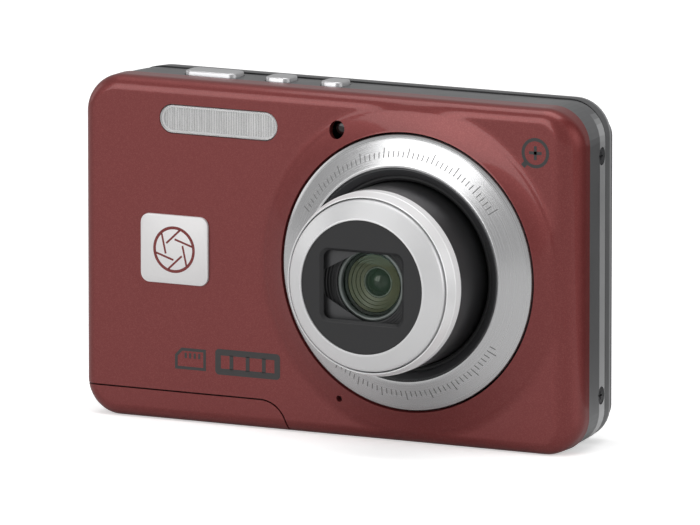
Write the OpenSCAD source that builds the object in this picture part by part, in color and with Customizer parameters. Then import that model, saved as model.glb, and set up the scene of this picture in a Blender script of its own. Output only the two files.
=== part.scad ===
// Compact digital camera with a retracting zoom lens.
// +Z is up and the lens looks along -Y. The origin is the mouth of the
// tripod socket on the base. Depths are counted backwards from the flat
// face of the front cover. Lengths are in millimetres.

/* [Body] */
// Width of the body
body_w = 91; // [90:0.5:96]
// Height of the body
body_h = 57.2; // [57:0.2:60]
// Corner radius at the top, seen from the front
top_r = 6.5; // [6:0.5:8]
// Corner radius at the base, seen from the front
base_r = 6; // [6:0.5:8]
// Rounding of the front cover's edge
edge_r = 2; // [1.5:0.25:2.5]
// Thickness of the metal covers
skin = 0.9; // [0.7:0.1:1.2]
// Depth at which the front cover ends
front_d = 5.5; // [5:0.25:6]
// Depth at which the mid frame ends
mid_d = 13.3; // [13:0.1:13.4]
// How far each side draws in from the front cover to the rear cover
side_draft = 1.5; // [1.2:0.1:1.8]
// Depth at which the rear cover's tapered wall ends
rear_d = 17; // [16.8:0.1:17.2]
// Depth of the rear panel's face
back_d = 18.5; // [18.3:0.1:19]
// Gap between neighbouring covers
seam = 0.25; // [0.15:0.05:0.35]

/* [Lens] */
// Lens axis, to the right of the body's middle
lens_x = 15.6; // [14:0.2:17]
// Lens axis, above the base
lens_z = 28.7; // [28:0.1:29.4]
// Height of the boss around the lens ring
boss_h = 1.5; // [1:0.1:2]
// Outer radius of the chrome ring
ring_r = 22.85; // [22.5:0.05:23]
// Radius of the chrome ring's inner lip
lip_r = 17.65; // [17.5:0.05:18]
// How far the inner lip stands ahead of the boss
lip_h = 2.4; // [2:0.1:2.6]
// Radius of the outer barrel
outer_r = 15.25; // [15.1:0.05:15.35]
// Reach of the outer barrel ahead of the boss
outer_reach = 14.1; // [13.5:0.1:14.5]
// Length of the outer barrel's silver end
trim_len = 3.8; // [3:0.1:4.5]
// Radius of the outer barrel's silver end at its front
trim_r = 14.6; // [14.55:0.05:15]
// Radius of the inner barrel
inner_r = 14.2; // [14.1:0.05:14.3]
// Reach of the inner barrel ahead of the boss
inner_reach = 16.25; // [16:0.05:16.5]
// Radius of the black front plate
plate_r = 11.2; // [11:0.1:11.4]
// Width of the front plate's window
window_w = 14.4; // [13:0.1:14.6]
// Height of the front plate's window
window_h = 11.2; // [10:0.1:11.4]
// Turn of each barrier blade between open and closed, in degrees
blade_turn = 28; // [26:1:30]

/* [Flash and lamps] */
// Middle of the flash window along X
flash_x = -20.1; // [-22:0.1:-19]
// Middle of the flash window above the base
flash_z = 50.7; // [50:0.1:51]
// Width of the flash window
flash_w = 21.7; // [20:0.1:22]
// Height of the flash window
flash_h = 4.6; // [4:0.1:5]
// Focus lamp along X
lamp_x = 2.1; // [1.5:0.1:2.5]
// Focus lamp above the base
lamp_z = 51.2; // [51:0.1:51.8]
// Radius of the focus lamp's hole
lamp_r = 1.15; // [1:0.05:1.2]

/* [Battery door] */
// Height of the door's front lip
door_h = 4.9; // [4.5:0.1:5.2]
// End of the door at the base, along X
door_end = -7.5; // [-8:0.1:-7]

/* [Rear controls] */
// Middle of the direction ring along X
nav_x = -29; // [-29.5:0.1:-28.5]
// Middle of the direction ring above the base
nav_z = 24; // [23:0.5:25]
// Outer radius of the direction ring
nav_r = 8.8; // [8:0.2:9]
// Width of the display window
lcd_w = 56; // [54:0.5:56]
// Height of the display window
lcd_h = 43; // [41:0.5:43]

/* [Hidden] */
$fn = 64;
// Number of sides on the round corners inside a hull
hull_fn = 40;
eps = 0.01;
// Thickness of the slices that the front cover's edge is built from
slice = 0.04;
// The tripod socket sits this far behind the front face
socket_d = 9.5;
front_y = -socket_d;
half_w = body_w / 2;
boss_d = -boss_h;
cover_hole_r = ring_r + 0.4;
boss_r = ring_r + 4.2;
// Running clearance between barrels
run = 0.08;

// ---------- shared shapes ----------

// A flat outline stood up in the XZ plane and given depth from d0 to d1
module slab(d0, d1) {
    translate([0, front_y + d1, 0])
        rotate([90, 0, 0])
            linear_extrude(d1 - d0)
                children();
}

// Whatever stands along +Z, turned to point backwards from depth d at (x, z)
module at_back(x, z, d) {
    translate([x, front_y + d, z])
        rotate([-90, 0, 0])
            children();
}

// The same about the lens axis
module on_axis(d) {
    at_back(lens_x, lens_z, d)
        children();
}

// A solid of revolution about the lens axis; points are [radius, depth]
module turned(points) {
    on_axis(0)
        rotate_extrude($fn = 96)
            polygon(points);
}

// A tube about the lens axis
module lens_tube(r_out, r_in, d0, d1) {
    on_axis(d0)
        difference() {
            cylinder(r = r_out, h = d1 - d0, $fn = 96);
            translate([0, 0, -1])
                cylinder(r = r_in, h = d1 - d0 + 2, $fn = 96);
        }
}

// A rounded rectangle standing in the XZ plane around (x, z)
module round_rect(x, z, w, h, r) {
    translate([x, z]) {
        square([w - 2 * r, h], center = true);
        square([w, h - 2 * r], center = true);
        for (sx = [-1, 1], sz = [-1, 1])
            translate([sx * (w / 2 - r), sz * (h / 2 - r)])
                circle(r);
    }
}

// The body seen from the front, drawn in by inset all round and by draft at the sides
module outline(inset, draft = 0) {
    rt = top_r - inset;
    rb = base_r - inset;
    right = half_w - inset - draft;
    top = body_h - inset;
    polygon([
        [-right + rb, inset], [right - rb, inset], [right, inset + rb],
        [right, top - rt], [right - rt, top], [-right + rt, top],
        [-right, top - rt], [-right, inset + rb]
    ]);
    for (side = [-1, 1]) {
        translate([side * (right - rt), top - rt])
            circle(rt);
        translate([side * (right - rb), inset + rb])
            circle(rb);
    }
}

// The front cover's outer form: the outline with a round front edge
module pebble(inset, d_face, d_end) {
    r = edge_r - inset;
    hull() {
        for (a = [0:18:90])
            slab(d_face + r * (1 - cos(a)), d_face + r * (1 - cos(a)) + slice)
                outline(inset + r * (1 - sin(a)), $fn = hull_fn);
        slab(d_end - slice, d_end)
            outline(inset, $fn = hull_fn);
    }
}

// The mid frame's form: sides that draw in towards the back, then a bevel
module frame_form(inset, d0, d1) {
    hull() {
        slab(d0, d0 + eps)
            outline(inset, $fn = hull_fn);
        slab(bevel_d, bevel_d + eps)
            outline(inset + 0.05, side_draft * 0.4, $fn = hull_fn);
        slab(d1 - eps, d1)
            outline(inset + 0.2, side_draft * 0.5, $fn = hull_fn);
    }
}

// The rear cover's form
module rear_form(inset, d_end) {
    hull() {
        slab(mid_d + seam, mid_d + seam + eps)
            outline(inset, side_draft * 0.75, $fn = hull_fn);
        slab(d_end - eps, d_end)
            outline(inset + 0.2, side_draft, $fn = hull_fn);
    }
}

// The battery door's outline, grown by gap
module door_outline(gap) {
    mid_x = door_end - door_h;
    translate([-half_w - 2, -2])
        square([mid_x + half_w + 2, door_h + 2 + gap]);
    translate([mid_x, 0])
        circle(door_h + gap);
}

// A plain block given by its limits; depths run backwards
module block(x0, x1, d0, d1, z0, z1) {
    translate([x0, front_y + d0, z0])
        cube([x1 - x0, d1 - d0, z1 - z0]);
}

// ---------- covers ----------

boss_steps = 6;
// Flared profile of the boss: radius falls from boss_r to the hole's edge
function flare(t) = [
    cover_hole_r + 0.5 + (boss_r - cover_hole_r - 0.5) * pow(1 - t, 2),
    -boss_h * t * (2 - t)
];

module front_cover() {
    color("firebrick")
        difference() {
            union() {
                difference() {
                    pebble(0, 0, front_d);
                    pebble(skin, skin, front_d + 1);
                }
                // flared boss around the lens ring
                intersection() {
                    turned(concat(
                        [[cover_hole_r - 1, 0.6], [boss_r, 0.6]],
                        [for (i = [0:boss_steps]) flare(i / boss_steps)],
                        [[cover_hole_r - 1, -boss_h]]
                    ));
                    slab(-5, 5)
                        outline(1.5);
                }
            }
            on_axis(-5)
                cylinder(r = cover_hole_r, h = 12, $fn = 96);
            slab(-1, 3)
                round_rect(flash_x, flash_z, flash_w + 0.3, flash_h + 0.3, 2.4);
            at_back(lamp_x, lamp_z, -3)
                cylinder(r = lamp_r, h = 6);
            at_back(mic_x, mic_z, -3)
                cylinder(r = mic_r, h = 6, $fn = 24);
            slab(-1, front_d + 1)
                door_outline(seam);
            pad_clearance();
        }
}

mic_x = 2.6;
mic_z = 6.5;
mic_r = 0.4;
socket_r = 4;
pad_r = 5;

// Room in both covers for the mid frame's round pad under the tripod socket
module pad_clearance() {
    translate([0, 0, -1])
        cylinder(r = pad_r + seam, h = 4);
}

top_wall = 1.2;
// Depth at which the mid frame's rear bevel starts
bevel_d = 10.7;
// The mid frame and door stand back from the front cover's edge by this much
frame_inset = 0.15;
// The three top buttons: middle, width and travel of each
shutter = [-25.55, 9.5, 0.8];
power = [-13.05, 4.5, 0.4];
mode = [-3, 4, 0.4];
button_gap = 0.2;
button_depth = 4.4;
button_mid_d = 9;

module button_plan(b, grow) {
    offset_w = b[1] + 2 * grow;
    offset_d = button_depth + 2 * grow;
    r = 1.2 + grow;
    translate([b[0], front_y + button_mid_d]) {
        square([offset_w - 2 * r, offset_d], center = true);
        square([offset_w, offset_d - 2 * r], center = true);
        for (sx = [-1, 1], sy = [-1, 1])
            translate([sx * (offset_w / 2 - r), sy * (offset_d / 2 - r)])
                circle(r, $fn = 32);
    }
}

frame_mid_d = 9.5;
speaker_x = 27;
speaker_r = 3.5;
usb_x = 15.6;
usb_w = 8.8;
usb_t = 3.8;
strap_z = 40;
strap_h = 7;
strap_t = 5;

module mid_frame() {
    d0 = front_d + seam;
    color("dimgray")
        difference() {
            union() {
                difference() {
                    frame_form(frame_inset, d0, mid_d);
                    frame_form(frame_inset + top_wall, d0 - 1, mid_d + 1);
                }
                translate([0, 0, frame_inset])
                    cylinder(r = pad_r, h = top_wall);
            }
            slab(0, 20)
                door_outline(seam);
            for (b = [shutter, power, mode])
                translate([0, 0, body_h - 5])
                    linear_extrude(10)
                        button_plan(b, button_gap);
            translate([0, 0, -1])
                cylinder(r = socket_r + 0.05, h = 4);
            // speaker holes
            for (i = [-2:2])
                translate([speaker_x + i * 1.4, front_y + frame_mid_d, -1])
                    cylinder(r = 0.4, h = 4, $fn = 16);
            // data port
            block(usb_x - usb_w / 2 - 0.1, usb_x + usb_w / 2 + 0.1,
                frame_mid_d - usb_t / 2 - 0.1, frame_mid_d + usb_t / 2 + 0.1, -1, 3);
            // strap lug
            block(-half_w - 1, -half_w + 3.4,
                frame_mid_d - strap_t / 2 - 0.1, frame_mid_d + strap_t / 2 + 0.1,
                strap_z - strap_h / 2 - 0.1, strap_z + strap_h / 2 + 0.1);
            screw_holes();
        }
}

// The rear buttons: middle x, middle z, radius
play = [-36.5, 38.2, 2.4];
record = [-21.5, 38.2, 2.4];
menu = [-36.5, 9.6, 2.4];
delete = [-21.5, 9.6, 2.4];
ok_r = 3.6;
lcd_x = 13.9;
lcd_z = 28.6;
rocker_x = -32;
rocker_z = 48.6;
rocker_w = 14;
rocker_h = 5;

module rear_cover() {
    color("#26272a")
        difference() {
            rear_form(frame_inset, rear_d);
            difference() {
                rear_form(frame_inset + top_wall, rear_d);
                slab(rear_d - top_wall, rear_d)
                    outline(0);
            }
            // display opening
            slab(0, 20)
                square_at(lcd_x, lcd_z, lcd_w - 3, lcd_h - 2);
            for (b = [play, record, menu, delete])
                at_back(b[0], b[1], 0)
                    cylinder(r = b[2] + 0.9, h = 20);
            at_back(nav_x, nav_z, 0)
                cylinder(r = nav_r + 0.9, h = 20);
            slab(0, 20)
                round_rect(rocker_x, rocker_z, rocker_w + 1.4, rocker_h + 1, 2.6);
            door_space();
            pad_clearance();
        }
}

module square_at(x, z, w, h) {
    translate([x, z])
        square([w, h], center = true);
}

// The room that the door and its turning hinge take at the foot of the rear cover
door_back_d = 13.1;
module door_space() {
    block(-half_w, door_end + seam, mid_d, door_back_d + 0.8, -1, 3.2);
}

// The panel stands in from the top and the base, and less so at the sides
panel_inset = 3;
panel_spread = -0.85;
panel_chamfer = 0.5;
module rear_panel() {
    color("#55585c")
        difference() {
            hull() {
                slab(rear_d, back_d - panel_chamfer)
                    outline(panel_inset, panel_spread, $fn = hull_fn);
                slab(back_d - eps, back_d)
                    outline(panel_inset + panel_chamfer, panel_spread, $fn = hull_fn);
            }
            slab(0, 30)
                square_at(lcd_x, lcd_z, lcd_w - 3, lcd_h - 2);
            slab(back_d - 1.1, back_d + 1)
                round_rect(lcd_x, lcd_z, lcd_w + 0.2, lcd_h + 0.2, 1.2);
            for (b = [play, record, menu, delete])
                at_back(b[0], b[1], 0)
                    cylinder(r = b[2] + button_gap, h = 30);
            at_back(nav_x, nav_z, 0)
                cylinder(r = nav_r + button_gap, h = 30);
            slab(0, 30)
                round_rect(rocker_x, rocker_z, rocker_w + 0.5, rocker_h + 0.5, 2.6);
        }
}

module lcd_window() {
    color("#101214")
        slab(back_d - 1, back_d + 0.1)
            round_rect(lcd_x, lcd_z, lcd_w, lcd_h, 1.1);
}

module lcd_module() {
    color("#3b3f46")
        block(lcd_x - lcd_w / 2 + 1.8, lcd_x + lcd_w / 2 - 1.8,
            14.35, back_d - 1.15, lcd_z - lcd_h / 2 + 1.4, lcd_z + lcd_h / 2 - 1.4);
}

chassis_d = 12;
module chassis() {
    color("silver")
        difference() {
            union() {
                block(-8.3, 36, 2.2, chassis_d, 1.5, 2.2);
                block(-8.3, -7.7, 2.2, chassis_d, 1.5, 46);
            }
            translate([0, 0, -1])
                cylinder(r = socket_r + 0.05, h = 6);
            translate([speaker_x, front_y + frame_mid_d, -1])
                cylinder(r = speaker_r + 0.3, h = 6);
            block(usb_x - usb_w / 2 - 0.2, usb_x + usb_w / 2 + 0.2,
                frame_mid_d - usb_t / 2 - 0.2, frame_mid_d + usb_t / 2 + 0.2, -1, 4);
        }
}

// ---------- lens surround ----------

module lens_trim_ring() {
    color("gainsboro")
        turned([
            [ring_r, 0.8], [ring_r, boss_d + 0.1], [ring_r - 0.5, boss_d - 0.35],
            [lip_r + 0.5, boss_d - lip_h - 0.05], [lip_r, boss_d - lip_h],
            [lip_r - 0.15, boss_d - lip_h + 0.3], [lip_r - 0.15, 0.8]
        ]);
}

surround_r = 16.25;
module lens_surround() {
    color("#3a3a3c")
        turned([
            [lip_r - 0.15, 0.8], [lip_r - 0.15, boss_d - lip_h + 0.5],
            [surround_r, boss_d - lip_h + 0.9], [surround_r, 0.8]
        ]);
}

module lens_seal() {
    color("#141414")
        turned([
            [surround_r, 0.8], [surround_r, boss_d - lip_h + 1.2],
            [outer_r + run + 0.1, boss_d - lip_h + 1.4],
            [outer_r + run, boss_d - lip_h + 1.7], [outer_r + run, 0.8]
        ]);
}

// ---------- lens mechanism ----------

base_out_r = 19.4;
base_in_r = 18.7;
base_back_d = 12.7;
sensor_w = 11;
sensor_h = 9;
rod_r = 0.5;
rod_x = 9.6;
rod_front_d = 7.1;

// Drive gears: module, tooth counts and face width
gear_m = 0.4;
ring_teeth = 90;
idler_teeth = 22;
pinion_teeth = 12;
gear_d0 = 9.4;
gear_d1 = 10.9;
ring_pitch_r = gear_m * ring_teeth / 2;
idler_pitch_r = gear_m * idler_teeth / 2;
pinion_pitch_r = gear_m * pinion_teeth / 2;
// The idler lies up and to the right of the lens, the motor beyond it
idler_angle = 42;
idler_dist = ring_pitch_r + idler_pitch_r;
idler_x = lens_x + idler_dist * cos(idler_angle);
idler_z = lens_z + idler_dist * sin(idler_angle);
motor_angle = 42;
motor_dist = idler_pitch_r + pinion_pitch_r;
motor_x = idler_x + motor_dist * cos(motor_angle);
motor_z = idler_z + motor_dist * sin(motor_angle);
motor_r = 3;

base_front_d = 0.85;

// A plate from the lens base out to the motor
module motor_plate(d0, d1) {
    hull() {
        at_back(lens_x + ring_pitch_r * cos(idler_angle), lens_z + ring_pitch_r * sin(idler_angle), d0)
            cylinder(r = 3, h = d1 - d0, $fn = 32);
        at_back(motor_x, motor_z, d0)
            cylinder(r = motor_r, h = d1 - d0, $fn = 32);
    }
}

module lens_base() {
    color("#2b2b2d")
        difference() {
            union() {
                lens_tube(base_out_r, base_in_r, base_front_d, base_back_d + 0.5);
                lens_tube(base_out_r, outer_r + run, base_front_d, base_front_d + 0.75);
                difference() {
                    union() {
                        motor_plate(8.45, 9.05);
                        motor_plate(11.4, 12.4);
                        at_back(idler_x, idler_z, 9)
                            cylinder(r = 0.7, h = 2.6, $fn = 32);
                    }
                    on_axis(0)
                        cylinder(r = base_in_r, h = 20, $fn = 96);
                    at_back(motor_x, motor_z, 8)
                        cylinder(r = 0.65, h = 2, $fn = 32);
                }
                // back plate round the image sensor
                difference() {
                    on_axis(base_back_d)
                        cylinder(r = base_out_r, h = 0.5, $fn = 96);
                    slab(0, 20)
                        square_at(lens_x, lens_z, sensor_w + 0.2, sensor_h + 0.2);
                }
                // guide rods of the focus group
                for (side = [-1, 1])
                    at_back(lens_x + side * rod_x, lens_z, rod_front_d)
                        cylinder(r = rod_r, h = base_back_d - rod_front_d + 0.2, $fn = 32);
            }
            at_back(idler_x, idler_z, 9.1)
                gear_room();
        }
}

module gear_room() {
    difference() {
        cylinder(r = idler_pitch_r + 0.8, h = 2.2);
        translate([0, 0, -1])
            cylinder(r = 0.7, h = 5, $fn = 32);
    }
}

// A spur gear outline whose first tooth points along +X
module gear_plan(teeth, bore_r, phase) {
    pitch_r = gear_m * teeth / 2;
    step = 360 / teeth;
    tip_r = pitch_r + 0.7 * gear_m;
    root_r = pitch_r - 0.95 * gear_m;
    difference() {
        polygon([
            for (i = [0:teeth - 1], c = [[root_r, -0.3], [tip_r, -0.13], [tip_r, 0.13], [root_r, 0.3]])
                c[0] * [cos((i + c[1]) * step + phase), sin((i + c[1]) * step + phase)]
        ]);
        circle(bore_r);
    }
}

module gear(x, z, teeth, bore_r, phase) {
    slab(gear_d0, gear_d1)
        translate([x, z])
            gear_plan(teeth, bore_r, phase);
}

cam_in_r = outer_r + 0.15;
cam_out_r = 17.2;

module cam_ring() {
    color("#8a8d90") {
        lens_tube(cam_out_r, cam_in_r, base_front_d + 0.9, gear_d0);
        gear(lens_x, lens_z, ring_teeth, cam_in_r, idler_angle);
        lens_tube(cam_out_r, cam_in_r, gear_d1, 12.2);
    }
}

module idler_gear() {
    // a tooth gap of the idler faces the ring's tooth
    color("whitesmoke")
        gear(idler_x, idler_z, idler_teeth, 0.75, idler_angle + 180 + 180 / idler_teeth);
}

module motor_pinion() {
    color("goldenrod") {
        // the idler's tooth towards the motor and the pinion's gap face each other
        gear(motor_x, motor_z, pinion_teeth, 0.5, pinion_phase);
        at_back(motor_x, motor_z, 7.8)
            cylinder(r = 0.5, h = gear_d1 - 7.8, $fn = 24);
    }
}

// Where the idler's teeth stand on the line towards the motor
idler_phase = idler_angle + 180 + 180 / idler_teeth;
idler_step = 360 / idler_teeth;
idler_offset = (motor_angle - idler_phase) / idler_step;
idler_lead = idler_offset - floor(idler_offset);
pinion_phase = motor_angle + 180 + (0.5 + idler_lead) * 360 / pinion_teeth;

module zoom_motor() {
    color("silver")
        at_back(motor_x, motor_z, 1.2)
            difference() {
                cylinder(r = motor_r, h = 7.2);
                translate([0, 0, 6.4])
                    cylinder(r = 0.6, h = 2, $fn = 24);
            }
}

outer_front_d = boss_d - outer_reach;
outer_back_d = 0.6;
outer_wall = 0.8;
trim_back_d = outer_front_d + trim_len;

module outer_barrel() {
    color("#39393b")
        lens_tube(outer_r, outer_r - outer_wall, trim_back_d, outer_back_d);
}

module outer_trim() {
    mid = outer_front_d + 1.9;
    color("silver")
        turned([
            [outer_r, trim_back_d], [outer_r + 0.02, mid + 0.3], [outer_r - 0.1, mid],
            [trim_r, outer_front_d], [inner_r + 0.2, outer_front_d],
            [inner_r + 0.2, trim_back_d]
        ]);
}

inner_front_d = boss_d - inner_reach;
inner_back_d = -6;
inner_wall = 0.75;
bezel_back_d = outer_front_d + 0.2;

module inner_barrel() {
    color("#4a4a4c")
        lens_tube(inner_r, inner_r - inner_wall, bezel_back_d, inner_back_d);
}

module inner_bezel() {
    color("gainsboro")
        turned([
            [inner_r + 0.12, bezel_back_d], [inner_r + 0.12, outer_front_d - 0.2],
            [inner_r - 0.5, outer_front_d - 0.9], [plate_r + 0.2, inner_front_d],
            [plate_r, inner_front_d + 0.05], [plate_r, inner_front_d + 0.8],
            [plate_r + 1.4, blade_front_d - 0.35], [inner_r - inner_wall, blade_front_d - 0.15],
            [inner_r - inner_wall, bezel_back_d]
        ]);
}

module window_plan(grow) {
    round_rect(lens_x, lens_z, window_w + 2 * grow, window_h + 2 * grow, 1.2 + grow);
}

plate_t = 0.75;

module lens_front_plate() {
    color("#2c2c2e")
        difference() {
            on_axis(inner_front_d)
                cylinder(r = plate_r, h = plate_t, $fn = 96);
            slab(inner_front_d - 1, inner_front_d + 2)
                window_plan(0);
            hull() {
                slab(inner_front_d - eps, inner_front_d)
                    window_plan(0.5, $fn = 32);
                slab(inner_front_d + 0.45, inner_front_d + 0.45 + eps)
                    window_plan(0, $fn = 32);
            }
        }
}

// ---------- barrier blades ----------

blade_front_d = inner_front_d + 1.8;
blade_t = 0.25;
pivot_x = -11.95;
pivot_z = 1.3;
blade_limit_r = 13.2;

// The upper blade, drawn closed about the lens axis and turned open about its pivot
module blade_plan() {
    intersection() {
        circle(blade_limit_r, $fn = 96);
        translate([pivot_x, pivot_z])
            rotate(blade_turn)
                translate([-pivot_x, -pivot_z])
                    union() {
                        translate([pivot_x, 0.06])
                            square([20.3, 6.3]);
                        translate([pivot_x, pivot_z])
                            circle(1.15);
                    }
    }
}

module blade(side) {
    slab(blade_front_d, blade_front_d + blade_t)
        translate([lens_x, lens_z])
            scale([1, side])
                difference() {
                    blade_plan();
                    translate([pivot_x, pivot_z])
                        circle(0.5, $fn = 24);
                }
}

module upper_blade() {
    color("#6a6a6c")
        blade(1);
}

module lower_blade() {
    color("#6a6a6c")
        blade(-1);
}

// ---------- lens groups ----------

// A lens element with two curved faces, thickest on the axis
module element(r, d0, edge_t, bulge_front, bulge_back) {
    steps = 6;
    turned(concat(
        [for (i = [0:steps]) [r * i / steps, d0 - bulge_front * (1 - pow(i / steps, 2))]],
        [for (i = [steps:-1:0]) [r * i / steps, d0 + edge_t + bulge_back * (1 - pow(i / steps, 2))]]
    ));
}

cell_front_d = blade_front_d + blade_t + 0.12;
front_r = 6.2;

module front_group() {
    color("#202225") {
        // ribbed cell behind the blades, with the blades' pivots
        turned([
            [inner_r - inner_wall, cell_front_d], [7.4, cell_front_d],
            [front_r, cell_front_d + 1.2], [front_r, cell_front_d + 4.4],
            [inner_r - inner_wall, cell_front_d + 4.4]
        ]);
        for (side = [-1, 1])
            at_back(lens_x + pivot_x, lens_z + side * pivot_z, blade_front_d)
                cylinder(r = 0.45, h = cell_front_d - blade_front_d + eps, $fn = 24);
        element(front_r, cell_front_d + 2.2, 1.4, 0.9, 0.3);
    }
}

middle_front_d = -6.3;
middle_back_d = -2.2;

module middle_group() {
    color("#1c1c1e") {
        turned([
            [12.6, middle_front_d], [4.6, middle_front_d], [4.6, middle_back_d],
            [12.6, middle_back_d]
        ]);
        element(4.6, middle_front_d + 1.4, 1.2, 0.6, 0.3);
    }
}

focus_front_d = 8.2;
focus_back_d = 10.4;

module focus_group() {
    color("#222426")
        difference() {
            union() {
                turned([
                    [8, focus_front_d], [5, focus_front_d], [5, focus_back_d],
                    [8, focus_back_d]
                ]);
                element(5, focus_front_d + 0.8, 0.7, 0.5, 0.3);
                for (side = [-1, 1])
                    hull() {
                        at_back(lens_x + side * 7, lens_z, focus_front_d + 0.4)
                            cylinder(r = 1.2, h = 1.4, $fn = 32);
                        at_back(lens_x + side * rod_x, lens_z, focus_front_d + 0.4)
                            cylinder(r = 1.2, h = 1.4, $fn = 32);
                    }
            }
            for (side = [-1, 1])
                at_back(lens_x + side * rod_x, lens_z, 0)
                    cylinder(r = rod_r + 0.05, h = 20);
        }
}

module image_sensor() {
    color("#2f4f4f")
        block(lens_x - sensor_w / 2, lens_x + sensor_w / 2, 11.9, base_back_d + 0.5,
            lens_z - sensor_h / 2, lens_z + sensor_h / 2);
}

module sensor_board() {
    color("#1f6b3a")
        block(lens_x - 11, lens_x + 11, base_back_d + 0.5, base_back_d + 1.1,
            lens_z - 9, lens_z + 9);
}

// ---------- flash, lamps and sound ----------

module badge() {
    color("lightgray")
        slab(-0.45, 0)
            round_rect(-28.2, 28.9, 12.6, 11.5, 1.6);
}

module flash_window() {
    color("white", 0.6)
        slab(-0.15, 1)
            round_rect(flash_x, flash_z, flash_w, flash_h, 2.29);
}

tube_d = 4.2;
tube_r = 0.8;

module flash_reflector() {
    w = flash_w - 1.6;
    mirror_h = flash_h / 2 + 0.1;
    color("silver")
        difference() {
            block(flash_x - w / 2 - 0.8, flash_x + w / 2 + 0.8, 1.05, 6,
                flash_z - 3, flash_z + 3);
            // curved mirror trough, deepest on the tube's line
            translate([flash_x - w / 2, front_y, flash_z])
                rotate([90, 0, 90])
                    linear_extrude(w)
                        polygon([
                            for (i = [-6:6]) [5.4 - 4.6 * pow(i / 6, 2), mirror_h * i / 6]
                        ]);
            translate([flash_x, front_y + tube_d, flash_z])
                rotate([0, 90, 0])
                    cylinder(r = tube_r + 0.1, h = w + 4, center = true, $fn = 32);
        }
}

module flash_tube() {
    color("aliceblue", 0.6)
        translate([flash_x, front_y + tube_d, flash_z])
            rotate([0, 90, 0])
                cylinder(r = tube_r, h = flash_w - 1, center = true, $fn = 32);
}

module flash_capacitor() {
    color("#1d2733")
        translate([39.5, front_y + 6.2, 7])
            cylinder(r = 3.9, h = 26);
}

module af_lamp() {
    color("#f5c9a0", 0.7)
        at_back(lamp_x, lamp_z, 0.2)
            union() {
                cylinder(r = lamp_r - 0.05, h = 0.8, $fn = 32);
                translate([0, 0, 0.75])
                    cylinder(r = 1.6, h = 3, $fn = 32);
            }
}

module microphone() {
    color("silver")
        at_back(mic_x, mic_z, skin + 0.05)
            cylinder(r = 2, h = 1.2, $fn = 32);
}

module speaker() {
    color("#303030")
        translate([speaker_x, front_y + frame_mid_d, top_wall + 0.5])
            cylinder(r = speaker_r, h = 2.4);
}

// ---------- fasteners and interfaces ----------

// Screws on both sides, near the base and near the top
screw_d = 11.7;
side_screw_z = [8.6, 48.3];
screw_head_r = 1.4;

module screw_holes() {
    for (side = [-1, 1], z = side_screw_z)
        translate([side * (half_w - side_draft), front_y + screw_d, z])
            rotate([0, 90, 0])
                cylinder(r = screw_head_r + 0.1, h = 8, center = true, $fn = 32);
}

module cross_recess() {
    for (turn = [0, 90])
        rotate(turn)
            translate([-0.7, -0.15, -0.45])
                cube([1.4, 0.3, 0.6]);
}

module screw(length) {
    difference() {
        union() {
            translate([0, 0, -0.6])
                cylinder(r = screw_head_r, h = 0.6, $fn = 32);
            translate([0, 0, -length])
                cylinder(r = 0.6, h = length, $fn = 24);
        }
        cross_recess();
    }
}

module body_screws() {
    color("silver")
        for (side = [-1, 1], z = side_screw_z)
            translate([side * (half_w - 1.1), front_y + screw_d, z])
                rotate([0, side * 90, 0])
                    screw(3);
}

thread_r = 2.75;
thread_len = 4.8;

module tripod_socket() {
    color("silver")
        difference() {
            union() {
                cylinder(r = socket_r, h = 1.5);
                translate([0, 0, 1.4])
                    cylinder(r = socket_r - 0.9, h = 4.4);
            }
            translate([0, 0, -1])
                cylinder(r = thread_r, h = thread_len + 1);
            translate([0, 0, -eps])
                cylinder(r1 = thread_r + 0.5, r2 = thread_r, h = 0.5);
        }
}

module usb_socket() {
    color("gainsboro") {
        difference() {
            block(usb_x - usb_w / 2, usb_x + usb_w / 2,
                frame_mid_d - usb_t / 2, frame_mid_d + usb_t / 2, 0.3, 6);
            block(usb_x - usb_w / 2 + 0.4, usb_x + usb_w / 2 - 0.4,
                frame_mid_d - usb_t / 2 + 0.4, frame_mid_d + usb_t / 2 - 0.4, -1, 5.5);
        }
        // contact tongue
        block(usb_x - 2.8, usb_x + 2.8, frame_mid_d - 0.4, frame_mid_d + 0.4, 1.2, 5.6);
    }
}

module strap_lug() {
    color("silver") {
        difference() {
            block(-half_w + 0.9, -half_w + 4.5,
                frame_mid_d - strap_t / 2, frame_mid_d + strap_t / 2,
                strap_z - strap_h / 2, strap_z + strap_h / 2);
            block(-half_w - 1, -half_w + 4,
                frame_mid_d - strap_t / 2 + 0.5, frame_mid_d + strap_t / 2 - 0.5,
                strap_z - strap_h / 2 + 0.5, strap_z + strap_h / 2 - 0.5);
        }
        // bar that the wrist strap loops round
        translate([-half_w + 1.75, front_y + frame_mid_d, strap_z])
            cylinder(r = 0.7, h = strap_h - 0.8, center = true, $fn = 32);
    }
}

// ---------- boards, card and battery ----------

board_d0 = 12.6;
board_d1 = 13.3;
card_x0 = -35;
card_w = 24;
card_h = 32;
card_t = 2.1;
card_z0 = 3;
card_d0 = 10.1;

module main_board() {
    color("#1c5c33") {
        block(-41, -9, board_d0, board_d1, 3.6, 45);
        // processor and memory
        block(-34, -24, board_d0 - 1.1, board_d0 + 0.1, 36.5, 44);
        block(-21, -13, board_d0 - 0.9, board_d0 + 0.1, 37, 43);
    }
}

module card_slot() {
    color("silver")
        difference() {
            block(card_x0 - 0.7, card_x0 + card_w + 0.7, card_d0 - 0.45, board_d0 - 0.05,
                card_z0 + 0.6, 35.9);
            block(card_x0 - 0.15, card_x0 + card_w + 0.15, card_d0 - 0.1, card_d0 + card_t + 0.1,
                0, card_z0 + card_h + 0.1);
        }
}

module memory_card() {
    color("#26407a")
        slab(card_d0, card_d0 + card_t)
            difference() {
                translate([card_x0, card_z0])
                    square([card_w, card_h]);
                translate([card_x0 + card_w, card_z0 + card_h])
                    rotate(45)
                        square(5.6, center = true);
            }
}

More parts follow.
